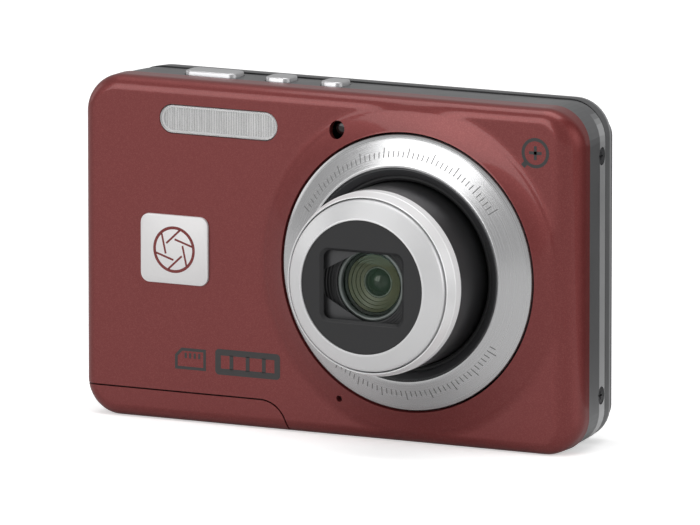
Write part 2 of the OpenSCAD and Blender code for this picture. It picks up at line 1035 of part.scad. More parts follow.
bat_x0 = -39.8;
bat_w = 30;
bat_h = 40;
bat_t = 5.8;
bat_d0 = 2.2;
bat_z0 = 3;

module battery_bay() {
    color("#333336")
        difference() {
            block(bat_x0 - 0.8, bat_x0 + bat_w + 0.8, bat_d0 - 0.8, bat_d0 + bat_t + 0.8,
                bat_z0 - 0.2, bat_z0 + bat_h + 1.8);
            block(bat_x0 - 0.15, bat_x0 + bat_w + 0.15, bat_d0 - 0.15, bat_d0 + bat_t + 0.15,
                0, bat_z0 + bat_h + 0.9);
            // notch for the latch
            block(latch_x - latch_w / 2 - 0.3, latch_x + latch_w / 2 + 0.3,
                bat_d0 + bat_t - 0.1, bat_d0 + bat_t + 2, 0, 9.5);
        }
}

module battery() {
    color("#5a5c60")
        slab(bat_d0, bat_d0 + bat_t)
            round_rect(bat_x0 + bat_w / 2, bat_z0 + bat_h / 2, bat_w, bat_h, 1.5);
}

latch_x = -37.6;
latch_w = 3.6;

module battery_latch() {
    color("darkorange") {
        block(latch_x - latch_w / 2, latch_x + latch_w / 2,
            bat_d0 + bat_t + 0.25, bat_d0 + bat_t + 1.15, 2.45, 9);
        // nose that holds the battery in
        block(latch_x - latch_w / 2, latch_x + latch_w / 2,
            bat_d0 + bat_t - 0.8, bat_d0 + bat_t + 1.15, 2.45, 2.9);
    }
}

// ---------- switches ----------

switch_h = 0.9;
top_board_z = body_h - 5.6;

module top_switches() {
    color("#3c6e47") {
        block(-31, -1, 6.9, 10, top_board_z - 0.6, top_board_z);
        for (b = [shutter, power, mode])
            translate([b[0], front_y + button_mid_d, top_board_z - eps])
                cylinder(r = 1.3, h = switch_h, $fn = 32);
    }
}

module rear_switches() {
    color("gainsboro") {
        for (b = [play, record, menu, delete])
            at_back(b[0], b[1], board_d1)
                cylinder(r = 1.6, h = 0.8, $fn = 32);
        at_back(nav_x, nav_z, board_d1)
            cylinder(r = 1.6, h = 0.8, $fn = 32);
        for (turn = [0:90:270])
            at_back(nav_x + 6.4 * cos(turn), nav_z + 6.4 * sin(turn), board_d1)
                cylinder(r = 1, h = 0.8, $fn = 24);
    }
}

// ---------- battery door ----------

hinge_d = 12.35;
hinge_z = 1.45;
pin_r = 0.45;
knuckle_r = 1;
knuckle_x = [-35, -12];
lug_w = 2;

module hinge_rod(r, x0, x1) {
    translate([x0, front_y + hinge_d, hinge_z])
        rotate([0, 90, 0])
            cylinder(r = r, h = x1 - x0, $fn = 32);
}

module door_carriage() {
    color("#707276") {
        // hinge pin on two lugs that slide along the chassis
        hinge_rod(pin_r, knuckle_x[0] - 3, knuckle_x[1] + 3);
        for (x = knuckle_x)
            block(x - lug_w / 2, x + lug_w / 2, hinge_d - 0.7, hinge_d + 0.7, hinge_z - 0.6, 2.6);
    }
}

module door_form(d0, d1) {
    intersection() {
        slab(d0, d1)
            door_outline(0);
        children();
    }
}

module door_skin() {
    color("firebrick")
        door_form(-1, front_d)
            difference() {
                pebble(0, 0, front_d);
                pebble(skin, skin, front_d + 1);
            }
}

module battery_door() {
    color("#3f4145")
        difference() {
            union() {
                // strip of the mid frame
                door_form(front_d + seam, door_back_d)
                    difference() {
                        frame_form(frame_inset, front_d + seam, mid_d);
                        frame_form(frame_inset + top_wall, front_d, mid_d + 1);
                    }
                // tongue that carries the skin
                door_form(edge_r, front_d + seam + 0.5)
                    slab(0, 20)
                        difference() {
                            outline(skin + 0.02);
                            outline(frame_inset + top_wall);
                        }
                hinge_rod(knuckle_r, knuckle_x[0] + lug_w / 2 + 0.2, knuckle_x[1] - lug_w / 2 - 0.2);
            }
            // room for the hinge lugs
            for (x = knuckle_x)
                block(x - lug_w / 2 - 0.2, x + lug_w / 2 + 0.2, hinge_d - 1.6, hinge_d + 3, -1, 5);
            hinge_rod(pin_r + 0.05, -60, 0);
        }
}

// ---------- buttons ----------

module top_button(b) {
    travel = b[2];
    color("silver") {
        translate([0, 0, body_h - top_wall - 0.9])
            linear_extrude(top_wall + 1.5)
                button_plan(b, 0);
        // flange that keeps the button in its hole
        translate([0, 0, body_h - top_wall - 1.1])
            linear_extrude(0.7)
                button_plan(b, 0.6);
        translate([b[0], front_y + button_mid_d, top_board_z + switch_h + travel + 0.1])
            cylinder(r = 0.8, h = body_h - top_wall - 1 - top_board_z - switch_h - travel - 0.1, $fn = 24);
    }
}

module shutter_button() top_button(shutter);
module power_button() top_button(power);
module mode_button() top_button(mode);

rear_cap_d = back_d + 0.5;
flange_d0 = 14.75;
flange_d1 = rear_d - 0.15;

module rear_button(b, shade) {
    color(shade)
        at_back(b[0], b[1], flange_d0)
            union() {
                cylinder(r = b[2] + 0.6, h = flange_d1 - flange_d0);
                cylinder(r = b[2], h = rear_cap_d - flange_d0 - 0.3);
                translate([0, 0, rear_cap_d - flange_d0 - 0.3])
                    cylinder(r1 = b[2], r2 = b[2] - 0.3, h = 0.3);
            }
}

module play_button() rear_button(play, "silver");
module record_button() rear_button(record, "silver");
module menu_button() rear_button(menu, "silver");
module delete_button() rear_button(delete, "silver");

// The ring's flange lies behind the panel, with room to tilt
nav_flange = rear_d - flange_d0 - 0.35;
module nav_ring() {
    color("silver")
        at_back(nav_x, nav_z, flange_d0)
            rotate_extrude($fn = 96)
                polygon([
                    [ok_r + 0.2, 0], [nav_r + 0.6, 0], [nav_r + 0.6, nav_flange],
                    [nav_r, nav_flange], [nav_r, rear_cap_d - flange_d0 - 0.4],
                    [nav_r - 0.5, rear_cap_d - flange_d0],
                    [ok_r + 0.9, rear_cap_d - flange_d0 - 0.1],
                    [ok_r + 0.2, rear_cap_d - flange_d0 - 0.5]
                ]);
}

module ok_button() {
    color("gainsboro")
        at_back(nav_x, nav_z, flange_d0)
            union() {
                cylinder(r = ok_r, h = rear_cap_d - flange_d0 - 0.4);
                translate([0, 0, rear_cap_d - flange_d0 - 0.4])
                    cylinder(r1 = ok_r, r2 = ok_r - 0.4, h = 0.3);
            }
}

module zoom_rocker() {
    color("silver") {
        slab(flange_d1 - 0.8, rear_cap_d)
            round_rect(rocker_x, rocker_z, rocker_w, rocker_h, 2.4);
        // pivot stem
        slab(board_d1 + 0.6, flange_d1)
            square_at(rocker_x, rocker_z, 1.6, 3);
    }
}

front_cover();
mid_frame();
rear_cover();
rear_panel();
lcd_window();
lcd_module();
chassis();
lens_trim_ring();
lens_surround();
lens_seal();
lens_base();
zoom_motor();
image_sensor();
sensor_board();
badge();
flash_window();
flash_reflector();
flash_tube();
flash_capacitor();
af_lamp();
microphone();
speaker();
body_screws();
tripod_socket();
usb_socket();
strap_lug();
main_board();
card_slot();
memory_card();
battery_bay();
battery();
battery_latch();
top_switches();
rear_switches();
door_carriage();
battery_door();
door_skin();
outer_barrel();
outer_trim();
inner_barrel();
inner_bezel();
lens_front_plate();
front_group();
upper_blade();
lower_blade();
middle_group();
focus_group();
cam_ring();
idler_gear();
motor_pinion();
shutter_button();
power_button();
mode_button();
zoom_rocker();
nav_ring();
ok_button();
play_button();
record_button();
menu_button();
delete_button();
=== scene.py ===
import math

import bmesh
import bpy
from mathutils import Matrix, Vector
from mathutils.geometry import delaunay_2d_cdt


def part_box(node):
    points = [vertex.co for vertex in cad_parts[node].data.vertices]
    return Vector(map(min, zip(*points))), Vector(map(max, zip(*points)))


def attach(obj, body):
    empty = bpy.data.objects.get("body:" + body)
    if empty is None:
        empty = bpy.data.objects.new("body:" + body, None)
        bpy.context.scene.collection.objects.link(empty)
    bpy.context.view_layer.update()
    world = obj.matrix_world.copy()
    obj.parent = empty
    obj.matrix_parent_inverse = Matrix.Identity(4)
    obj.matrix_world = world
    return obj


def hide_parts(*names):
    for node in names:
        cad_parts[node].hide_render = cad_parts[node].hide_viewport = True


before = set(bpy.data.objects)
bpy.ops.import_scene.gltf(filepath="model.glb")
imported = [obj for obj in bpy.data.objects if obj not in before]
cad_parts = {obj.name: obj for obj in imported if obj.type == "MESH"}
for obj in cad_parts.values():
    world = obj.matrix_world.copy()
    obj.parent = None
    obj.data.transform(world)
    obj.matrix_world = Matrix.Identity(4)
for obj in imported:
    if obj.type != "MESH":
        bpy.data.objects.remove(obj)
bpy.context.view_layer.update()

# The visual model of the compact digital camera. Lengths are in millimetres here
# and turned into metres when a mesh is made; depths count backwards from the
# flat front face, as in the CAD source.

MM = 0.001


def box_mm(node):
    low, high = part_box(node)
    return [v / MM for v in low], [v / MM for v in high]


cover_low, cover_high = box_mm("front_cover")
ring_low, ring_high = box_mm("lens_trim_ring")
bezel_low = box_mm("inner_bezel")[0]
trim_low, trim_high = box_mm("outer_trim")
flash_low, flash_high = box_mm("flash_window")
skin_low, skin_high = box_mm("door_skin")

# the body's outline, its corner radii seen from the front, and the red cover: CORE is the
# width of the border in which its edge turns back, SKIN its thickness
FRONT = skin_low[1]
HALF_W = (cover_high[0] - cover_low[0]) / 2
BODY_H = cover_high[2]
TOP_R = 6.5
BASE_R = 6.0
CORE = 5.0
SKIN = 0.9
COVER_END = cover_high[1] - FRONT
# the lens ring, its hole, and the rise of the cover round it out to BOSS_R
LENS_X = (ring_low[0] + ring_high[0]) / 2
LENS_Z = (ring_low[2] + ring_high[2]) / 2
RING_R = (ring_high[0] - ring_low[0]) / 2
BOSS_H = 1.5
HOLE_R = RING_R + 0.4
BOSS_R = 28.4
# the flash window and its opening, the focus lamp and the microphone hole
FLASH_X = (flash_low[0] + flash_high[0]) / 2
FLASH_Z = (flash_low[2] + flash_high[2]) / 2
FLASH_W = flash_high[0] - flash_low[0]
FLASH_H = flash_high[2] - flash_low[2]
FLASH_GAP = 0.15
FLASH_HOLE_R = 2.4
LAMP_X, LAMP_Z, LAMP_R, LAMP_LENS_R = 2.1, 51.2, 1.5, 1.1
MIC_X, MIC_Z, MIC_R = 2.6, 6.5, 0.55
# the door's part of the front, along the base with a round end
DOOR_H = 4.9
DOOR_END = skin_high[0]
DOOR_MID = DOOR_END - DOOR_H
SEAM = 0.25
# depths where the frame bevel's painted highlight and the rear cover's two painted light bands
# begin
FRAME_BEVEL_D = 10.7
REAR_DARK_D = 13.9
REAR_LIGHT_D = 16.2
PRINT_T = 0.02
QUARTER = math.pi / 2


# ---------- materials ----------

# in metres, as every length inside a material
TURNING_PITCH = 0.00014
RIB_PITCH = 0.00046


def node_of(tree, kind, **settings):
    n = tree.nodes.new(kind)
    for k, v in settings.items():
        setattr(n, k, v)
    return n


def start(name):
    m = bpy.data.materials.new(name)
    m.use_nodes = True
    t = m.node_tree
    shader = t.nodes["Principled BSDF"]
    coords = node_of(t, "ShaderNodeTexCoord")
    return m, t, shader, coords


def noise(t, coords, scale, detail=2.0):
    n = node_of(t, "ShaderNodeTexNoise")
    n.inputs["Scale"].default_value = scale
    n.inputs["Detail"].default_value = detail
    t.links.new(coords.outputs["Object"], n.inputs["Vector"])
    return n


def ranged(t, socket, low, high, from_low=0.3, from_high=0.7):
    r = node_of(t, "ShaderNodeMapRange")
    r.inputs["From Min"].default_value = from_low
    r.inputs["From Max"].default_value = from_high
    r.inputs["To Min"].default_value = low
    r.inputs["To Max"].default_value = high
    t.links.new(socket, r.inputs["Value"])
    return r.outputs["Result"]


def shaded(t, socket, colour, spread):
    """The colour made lighter and darker by spread as socket goes from 0 to 1."""
    mix = node_of(t, "ShaderNodeMix", data_type="RGBA")
    mix.inputs["A"].default_value = (*[c * (1 - spread) for c in colour], 1)
    mix.inputs["B"].default_value = (*[min(1, c * (1 + spread)) for c in colour], 1)
    t.links.new(socket, mix.inputs["Factor"])
    return mix.outputs["Result"]


def bumped(t, socket, shader, strength, distance):
    b = node_of(t, "ShaderNodeBump")
    b.inputs["Strength"].default_value = strength
    b.inputs["Distance"].default_value = distance
    t.links.new(socket, b.inputs["Height"])
    t.links.new(b.outputs["Normal"], shader.inputs["Normal"])
    return b


def surface(name, colour, metallic=0.0, rough=0.4, spread=0.05, grain=2500.0,
            grain_bump=0.15, coat=0.0, coat_rough=0.1, specular=0.5, rough_span=0.06):
    """A plastic, rubber or plain metal surface with a fine grain."""
    m, t, shader, coords = start(name)
    fine = noise(t, coords, grain)
    broad = noise(t, coords, grain / 40, 3.0)
    t.links.new(shaded(t, broad.outputs["Fac"], colour, spread), shader.inputs["Base Color"])
    t.links.new(ranged(t, broad.outputs["Fac"], rough - rough_span, rough + rough_span),
                shader.inputs["Roughness"])
    shader.inputs["Metallic"].default_value = metallic
    shader.inputs["Coat Weight"].default_value = coat
    shader.inputs["Coat Roughness"].default_value = coat_rough
    shader.inputs["Specular IOR Level"].default_value = specular
    bumped(t, fine.outputs["Fac"], shader, grain_bump, 0.00002)
    return m


def flaked(name, colour, glint, metallic, rough, coat):
    """Metallic paint: small flakes that lie at slightly different angles."""
    m, t, shader, coords = start(name)
    flakes = node_of(t, "ShaderNodeTexVoronoi")
    flakes.inputs["Scale"].default_value = 8500.0
    t.links.new(coords.outputs["Object"], flakes.inputs["Vector"])
    pick = node_of(t, "ShaderNodeSeparateColor")
    t.links.new(flakes.outputs["Color"], pick.inputs["Color"])
    mix = node_of(t, "ShaderNodeMix", data_type="RGBA")
    mix.inputs["A"].default_value = (*colour, 1)
    mix.inputs["B"].default_value = (*glint, 1)
    t.links.new(ranged(t, pick.outputs["Red"], 0.0, 0.55, 0.45, 1.0), mix.inputs["Factor"])
    t.links.new(mix.outputs["Result"], shader.inputs["Base Color"])
    broad = noise(t, coords, 60.0, 3.0)
    t.links.new(ranged(t, broad.outputs["Fac"], rough - 0.03, rough + 0.03),
                shader.inputs["Roughness"])
    shader.inputs["Metallic"].default_value = metallic
    shader.inputs["Coat Weight"].default_value = coat
    shader.inputs["Coat Roughness"].default_value = 0.08
    bumped(t, pick.outputs["Green"], shader, 0.08, 0.00002)
    return m


def spun(name, colour, rough, anisotropy, depth, metallic=1.0):
    """Metal turned on a lathe: fine rings about the lens axis."""
    m, t, shader, coords = start(name)
    flat = node_of(t, "ShaderNodeVectorMath", operation="MULTIPLY")
    flat.inputs[1].default_value = (1, 0, 1)
    t.links.new(coords.outputs["Object"], flat.inputs[0])
    radius = node_of(t, "ShaderNodeVectorMath", operation="LENGTH")
    t.links.new(flat.outputs["Vector"], radius.inputs[0])
    rings = node_of(t, "ShaderNodeTexNoise", noise_dimensions="1D")
    rings.inputs["Scale"].default_value = 1.0 / TURNING_PITCH
    rings.inputs["Detail"].default_value = 3.0
    t.links.new(radius.outputs["Value"], rings.inputs["W"])
    t.links.new(shaded(t, rings.outputs["Fac"], colour, 0.06), shader.inputs["Base Color"])
    t.links.new(ranged(t, rings.outputs["Fac"], rough - 0.06, rough + 0.06),
                shader.inputs["Roughness"])
    shader.inputs["Metallic"].default_value = metallic
    shader.inputs["Anisotropic"].default_value = anisotropy
    turn = node_of(t, "ShaderNodeTangent", direction_type="RADIAL", axis="Y")
    t.links.new(turn.outputs["Tangent"], shader.inputs["Tangent"])
    bumped(t, rings.outputs["Fac"], shader, depth, 0.00001)
    return m


def banded(m, depth, colour, sides_only=False):
    """The surface turns to another colour behind a depth along Y: painted light, as the painted
    highlight on a bright bevel; sides_only keeps it off faces that point up.
    """
    t = m.node_tree
    shader = t.nodes["Principled BSDF"]
    base = shader.inputs["Base Color"].links[0].from_socket
    coords = node_of(t, "ShaderNodeTexCoord")
    parts = node_of(t, "ShaderNodeSeparateXYZ")
    t.links.new(coords.outputs["Object"], parts.inputs["Vector"])
    mix = node_of(t, "ShaderNodeMix", data_type="RGBA")
    mix.inputs["B"].default_value = (*colour, 1)
    behind = ranged(t, parts.outputs["Y"], 0.0, 1.0, (depth - 0.03) * MM, (depth + 0.03) * MM)
    if sides_only:
        facing = node_of(t, "ShaderNodeSeparateXYZ")
        t.links.new(coords.outputs["Normal"], facing.inputs["Vector"])
        both = node_of(t, "ShaderNodeMath", operation="MULTIPLY")
        t.links.new(behind, both.inputs[0])
        t.links.new(ranged(t, facing.outputs["Z"], 1.0, 0.0, 0.35, 0.75), both.inputs[1])
        behind = both.outputs["Value"]
    t.links.new(behind, mix.inputs["Factor"])
    t.links.new(base, mix.inputs["A"])
    t.links.new(mix.outputs["Result"], shader.inputs["Base Color"])


def clear(name, tint, gloss_rough, reflect, veil=None, veil_amount=0.0):
    """Thin clear plastic or coated glass: see-through with a reflection on top."""
    m = bpy.data.materials.new(name)
    m.use_nodes = True
    t = m.node_tree
    t.nodes.remove(t.nodes["Principled BSDF"])
    out = t.nodes["Material Output"]
    through = node_of(t, "ShaderNodeBsdfTransparent")
    through.inputs["Color"].default_value = (*tint, 1)
    gloss = node_of(t, "ShaderNodeBsdfGlossy")
    coords = node_of(t, "ShaderNodeTexCoord")
    wave = noise(t, coords, 300.0)
    t.links.new(ranged(t, wave.outputs["Fac"], gloss_rough, gloss_rough + 0.03),
                gloss.inputs["Roughness"])
    gloss.inputs["Color"].default_value = (*reflect, 1)
    facing = node_of(t, "ShaderNodeFresnel")
    facing.inputs["IOR"].default_value = 1.55
    mix = node_of(t, "ShaderNodeMixShader")
    t.links.new(facing.outputs["Fac"], mix.inputs[0])
    t.links.new(through.outputs["BSDF"], mix.inputs[1])
    t.links.new(gloss.outputs["BSDF"], mix.inputs[2])
    last = mix
    if veil is not None:
        soft = node_of(t, "ShaderNodeBsdfDiffuse")
        soft.inputs["Color"].default_value = (*veil, 1)
        last = node_of(t, "ShaderNodeMixShader")
        last.inputs[0].default_value = veil_amount
        t.links.new(mix.outputs["Shader"], last.inputs[1])
        t.links.new(soft.outputs["BSDF"], last.inputs[2])
    t.links.new(last.outputs["Shader"], out.inputs["Surface"])
    return m


def ribbed(name, pitch):
    """Clear plastic with upright moulded ribs; white stripes painted on it are painted highlights
    for the light the ribs catch on one flank.
    """
    m = bpy.data.materials.new(name)
    m.use_nodes = True
    t = m.node_tree
    t.nodes.remove(t.nodes["Principled BSDF"])
    out = t.nodes["Material Output"]
    coords = node_of(t, "ShaderNodeTexCoord")
    bands = node_of(t, "ShaderNodeTexWave", wave_type="BANDS", bands_direction="X")
    bands.inputs["Scale"].default_value = 2 * math.pi / (20 * pitch)
    bands.inputs["Distortion"].default_value = 0.4
    t.links.new(coords.outputs["Object"], bands.inputs["Vector"])
    soft = node_of(t, "ShaderNodeBsdfDiffuse")
    patch = noise(t, coords, 260.0, 1.0)
    t.links.new(shaded(t, patch.outputs["Fac"], (0.97, 0.97, 0.97), 0.05), soft.inputs["Color"])
    through = node_of(t, "ShaderNodeBsdfTransparent")
    mix = node_of(t, "ShaderNodeMixShader")
    # the white stripes from the wave bands are painted highlights of the ribs' flanks
    t.links.new(ranged(t, bands.outputs["Fac"], 0.25, 1.0, 0.2, 0.9), mix.inputs[0])
    t.links.new(through.outputs["BSDF"], mix.inputs[1])
    t.links.new(soft.outputs["BSDF"], mix.inputs[2])
    t.links.new(mix.outputs["Shader"], out.inputs["Surface"])
    return m


RED = flaked("red_paint", (0.165, 0.023, 0.022), (0.235, 0.05, 0.047), 0.5, 0.38, 0.35)
GUNMETAL = surface("gunmetal", (0.15, 0.152, 0.156), 0.7, 0.34, grain=4200.0, grain_bump=0.25)
# the frame's gunmetal, with the faces behind FRAME_BEVEL_D that don't point up painted a lighter
# grey: a painted highlight for the bright surroundings its bevel reflects
FRAME_PAINTED_BEVEL = surface("frame_painted_bevel_highlight", (0.15, 0.152, 0.156), 0.7, 0.34, grain=4200.0, grain_bump=0.25)
banded(FRAME_PAINTED_BEVEL, FRONT + FRAME_BEVEL_D, (0.50, 0.505, 0.51), sides_only=True)
CHROME = spun("spun_chrome", (0.54, 0.54, 0.545), 0.22, 0.6, depth=0.12, metallic=0.8)
MARK = surface("mark_grey", (0.20, 0.20, 0.20), 0.6, 0.45)
BEZEL = surface("bezel_silver", (0.66, 0.66, 0.665), 0.4, 0.38, spread=0.02, grain=4000.0,
                grain_bump=0.05)
TRIM = surface("trim_silver", (0.78, 0.78, 0.785), 0.2, 0.34, spread=0.02, grain=4000.0,
               grain_bump=0.05)
SILVER = surface("button_silver", (0.60, 0.60, 0.61), 0.8, 0.34, grain=3500.0)
STEEL = surface("steel", (0.62, 0.62, 0.63), 1.0, 0.32)
DARK_RING = surface("dark_ring", (0.055, 0.055, 0.058), 0.3, 0.42)
SEAL = surface("seal_black", (0.008, 0.008, 0.009), 0.0, 0.7)
BARREL = spun("barrel_dark", (0.12, 0.12, 0.124), 0.36, 0.2, depth=0.1)
PLATE = surface("plate_black", (0.018, 0.018, 0.019), 0.0, 0.42, specular=0.35)
BLACK = surface("black_plastic", (0.016, 0.016, 0.017), 0.0, 0.42)
BAFFLE = surface("baffle_black", (0.010, 0.010, 0.011), 0.0, 0.5)
# the rear cover: black, and behind REAR_DARK_D and REAR_LIGHT_D two lighter greys, painted light
# standing in for how light falls on its tapered, rounded back edge
REAR_COVER_PAINTED_LIGHT = surface("rear_cover_painted_light_bands", (0.010, 0.010, 0.011), 0.0, 0.45, grain=3800.0,
                      grain_bump=0.35)
banded(REAR_COVER_PAINTED_LIGHT, FRONT + REAR_DARK_D, (0.065, 0.066, 0.068))
banded(REAR_COVER_PAINTED_LIGHT, FRONT + REAR_LIGHT_D, (0.20, 0.202, 0.205))
PANEL = surface("rear_panel_grey", (0.10, 0.104, 0.11), 0.35, 0.42, grain=3800.0)
GLASS_BLACK = surface("screen_glass", (0.006, 0.006, 0.007), 0.0, 0.06, coat=0.6,
                      coat_rough=0.03, grain_bump=0.0, rough_span=0.01)
PRINT_DARK = surface("print_dark", (0.026, 0.024, 0.024), 0.0, 0.5)
BADGE = surface("badge_silver", (0.70, 0.69, 0.69), 0.25, 0.42, grain=3000.0)
FLASH_CLEAR = clear("flash_clear", (0.99, 0.99, 0.99), 0.05, (1, 1, 1), (0.98, 0.98, 0.98), 0.16)
FLASH_RIBBED = ribbed("flash_ribbed", RIB_PITCH)
FLASH_SHADE = surface("flash_shade", (0.10, 0.10, 0.10), 0.0, 0.4)
FLASH_RIM = surface("flash_rim", (0.78, 0.78, 0.78), 0.0, 0.25)
MIRROR = surface("flash_mirror", (0.97, 0.97, 0.97), 0.1, 0.35)
TUBE = surface("flash_tube_glass", (0.62, 0.64, 0.66), 0.0, 0.12)
LENS_CLEAR = clear("lens_clear", (0.93, 0.95, 0.92), 0.01, (0.18, 0.26, 0.22))
LENS_DARK = surface("inner_lens_green", (0.014, 0.032, 0.014), 0.0, 0.05, spread=0.0,
                    coat=0.2, coat_rough=0.02, grain_bump=0.0, rough_span=0.01)
OLIVE = surface("olive_glass", (0.16, 0.15, 0.085), 0.0, 0.4, spread=0.0, grain_bump=0.0,
                coat=0.2)
CELL_GREY = surface("cell_grey", (0.17, 0.19, 0.18), 0.3, 0.35)
RIM_GREY = surface("inner_rim_grey", (0.22, 0.24, 0.21), 0.4, 0.25)
LAMP_DARK = surface("lamp_dark", (0.012, 0.006, 0.006), 0.0, 0.15)


# ---------- mesh helpers ----------

def place(obj, body, nodes=()):
    bpy.context.scene.collection.objects.link(obj)
    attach(obj, body)
    if nodes:
        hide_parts(*nodes)
    return obj


def make(name, points, faces, material, body="camera", nodes=(), angle=32.0,
         origin=(0, 0, 0)):
    """A mesh piece from points in millimetres; its origin can be put on the lens axis."""
    me = bpy.data.meshes.new(name)
    ox, oy, oz = origin
    me.from_pydata([((x - ox) * MM, (y - oy) * MM, (z - oz) * MM) for x, y, z in points], [],
                   faces)
    bm = bmesh.new()
    bm.from_mesh(me)
    bmesh.ops.remove_doubles(bm, verts=bm.verts, dist=1e-8)
    bmesh.ops.recalc_face_normals(bm, faces=bm.faces)
    bm.to_mesh(me)
    bm.free()
    me.polygons.foreach_set("use_smooth", [True] * len(me.polygons))
    me.set_sharp_from_angle(angle=math.radians(angle))
    me.materials.append(material)
    obj = bpy.data.objects.new(name, me)
    obj.location = (ox * MM, oy * MM, oz * MM)
    return place(obj, body, nodes)


def bridge(count, rows, closed):
    """Quads between rows of count points; closed joins the last row to the first."""
    faces = []
    last = rows if closed else rows - 1
    for r in range(last):
        a = r * count
        b = ((r + 1) % rows) * count
        for i in range(count):
            j = (i + 1) % count
            faces.append((a + i, a + j, b + j, b + i))
    return faces


def lathe(name, profile, material, body="camera", nodes=(), segments=192, angle=32.0):
    """A ring about the lens axis from a closed profile of (radius, depth)."""
    points = []
    for r, d in profile:
        for i in range(segments):
            a = 2 * math.pi * i / segments
            points.append((LENS_X + r * math.cos(a), FRONT + d, LENS_Z + r * math.sin(a)))
    return make(name, points, bridge(segments, len(profile), True), material, body, nodes,
                angle, (LENS_X, FRONT, LENS_Z))


def dome(name, radius, d_front, d_edge, d_back, material, body, steps):
    """A lens element: a curved front face and a flat back."""
    profile = []
    for i in range(steps + 1):
        t = i / steps
        profile.append((max(radius * t, 0.001), d_edge - (d_edge - d_front) * (1 - t * t)))
    profile.append((radius, d_back))
    profile.append((0.001, d_back))
    return lathe(name, profile, material, body, segments=96)


def loft(name, loops, material, body="camera", nodes=(), angle=32.0, hollow=False):
    """A solid through loops of equal length, capped at both ends."""
    count = len(loops[0])
    points = [p for loop in loops for p in loop]
    faces = bridge(count, len(loops), hollow)
    if not hollow:
        faces.append(tuple(range(count)))
        faces.append(tuple(range((len(loops) - 1) * count, len(loops) * count)))
    return make(name, points, faces, material, body, nodes, angle)


def rounded(x, z, w, h, r, inset=0.0, steps=10):
    """Points (x, z) round a rectangle with round corners, drawn in by inset."""
    w, h, r = w - 2 * inset, h - 2 * inset, max(r - inset, 0.02)
    out = []
    for cx, cz, turn in ((1, 1, 0), (-1, 1, 1), (-1, -1, 2), (1, -1, 3)):
        for i in range(steps + 1):
            a = (turn + i / steps) * QUARTER
            out.append((x + cx * (w / 2 - r) + r * math.cos(a),
                        z + cz * (h / 2 - r) + r * math.sin(a)))
    return out


def stood(loop, depth):
    return [(x, FRONT + depth, z) for x, z in loop]


def pad(name, x, z, w, h, r, sections, material, nodes=()):
    """A rounded rectangle through (inset, depth) sections."""
    return loft(name, [stood(rounded(x, z, w, h, r, i), d) for i, d in sections], material,
                nodes=nodes)


# ---------- the front cover and the door's skin ----------

def from_core(x, z):
    """Distance outside the flat core, the way out, and the nearest core point."""
    side = 1.0 if x >= 0 else -1.0
    ax = abs(x)
    for cx, cz, r, outside in (
        (HALF_W - TOP_R, BODY_H - TOP_R, TOP_R, z > BODY_H - TOP_R),
        (HALF_W - BASE_R, BASE_R, BASE_R, z < BASE_R),
    ):
        if outside and ax > cx:
            dx, dz = ax - cx, z - cz
            far = math.hypot(dx, dz)
            nx, nz = dx / far, dz / far
            return (far - (r - CORE), side * nx, nz, side * (cx + nx * (r - CORE)),
                    cz + nz * (r - CORE))
    gaps = (
        (ax - (HALF_W - CORE), side, 0.0, side * (HALF_W - CORE), z),
        (z - (BODY_H - CORE), 0.0, 1.0, x, BODY_H - CORE),
        (CORE - z, 0.0, -1.0, x, CORE),
    )
    return max(gaps, key=lambda g: g[0])


def edge_radius(nx, nz):
    """The edge is widest at the right, and tighter at the top, left and below."""
    right = max(nx, 0.0) ** 2
    left = max(-nx, 0.0) ** 2
    up = max(nz, 0.0) ** 2
    down = max(-nz, 0.0) ** 2
    return 4.4 * right + 2.2 * left + 2.5 * up + 2.1 * down


W_MAX = CORE * QUARTER + COVER_END - CORE


def edge_profile(w, e):
    """Offset from the core, depth and slope angle at arc length w for edge radius e."""
    flat = CORE - e
    turned_at = flat + e * QUARTER
    if w <= flat:
        return w, 0.0, 0.0
    if w < turned_at:
        a = (w - flat) / e
        return flat + e * math.sin(a), e * (1 - math.cos(a)), a
    return CORE, e + (COVER_END - e) * (w - turned_at) / (W_MAX - turned_at), QUARTER


def unrolled(x, z):
    """Where a point seen from the front lies on the cover rolled out flat."""
    w, nx, nz, fx, fz = from_core(x, z)
    if w <= 0:
        return x, z
    e = edge_radius(nx, nz)
    flat = CORE - e
    far = w if w <= flat else flat + e * math.asin(min(1.0, (w - flat) / e))
    return fx + nx * far, fz + nz * far


def boss_rise(x, z):
    """How far the cover stands forward of its flat face round the lens."""
    far = math.hypot(x - LENS_X, z - LENS_Z)
    t = (BOSS_R - far) / (BOSS_R - HOLE_R)
    if t <= 0:
        return 0.0
    t = min(t, 1.0)
    return BOSS_H * (0.35 * t + 0.65 * t * t) * min(1.0, t * 3)


def rolled(u, v):
    """The point in space for a point on the rolled-out cover, and its front view."""
    w, nx, nz, fx, fz = from_core(u, v)
    if w <= 0:
        return Vector((u, FRONT - boss_rise(u, v), v)), (u, v)
    off, depth, a = edge_profile(w, edge_radius(nx, nz))
    x, z = fx + nx * off, fz + nz * off
    return Vector((x, FRONT + depth - boss_rise(x, z) * math.cos(a) ** 2, z)), (x, z)


def cover_normal(u, v):
    """The outward direction, from the slopes either side of the point."""
    h = 0.02
    du = rolled(u + h, v)[0] - rolled(u - h, v)[0]
    dv = rolled(u, v + h)[0] - rolled(u, v - h)[0]
    n = du.cross(dv)
    n.normalize()
    return n


def in_door(x, z, gap):
    if x <= DOOR_MID:
        return z < DOOR_H + gap
    return math.hypot(x - DOOR_MID, z) < DOOR_H + gap


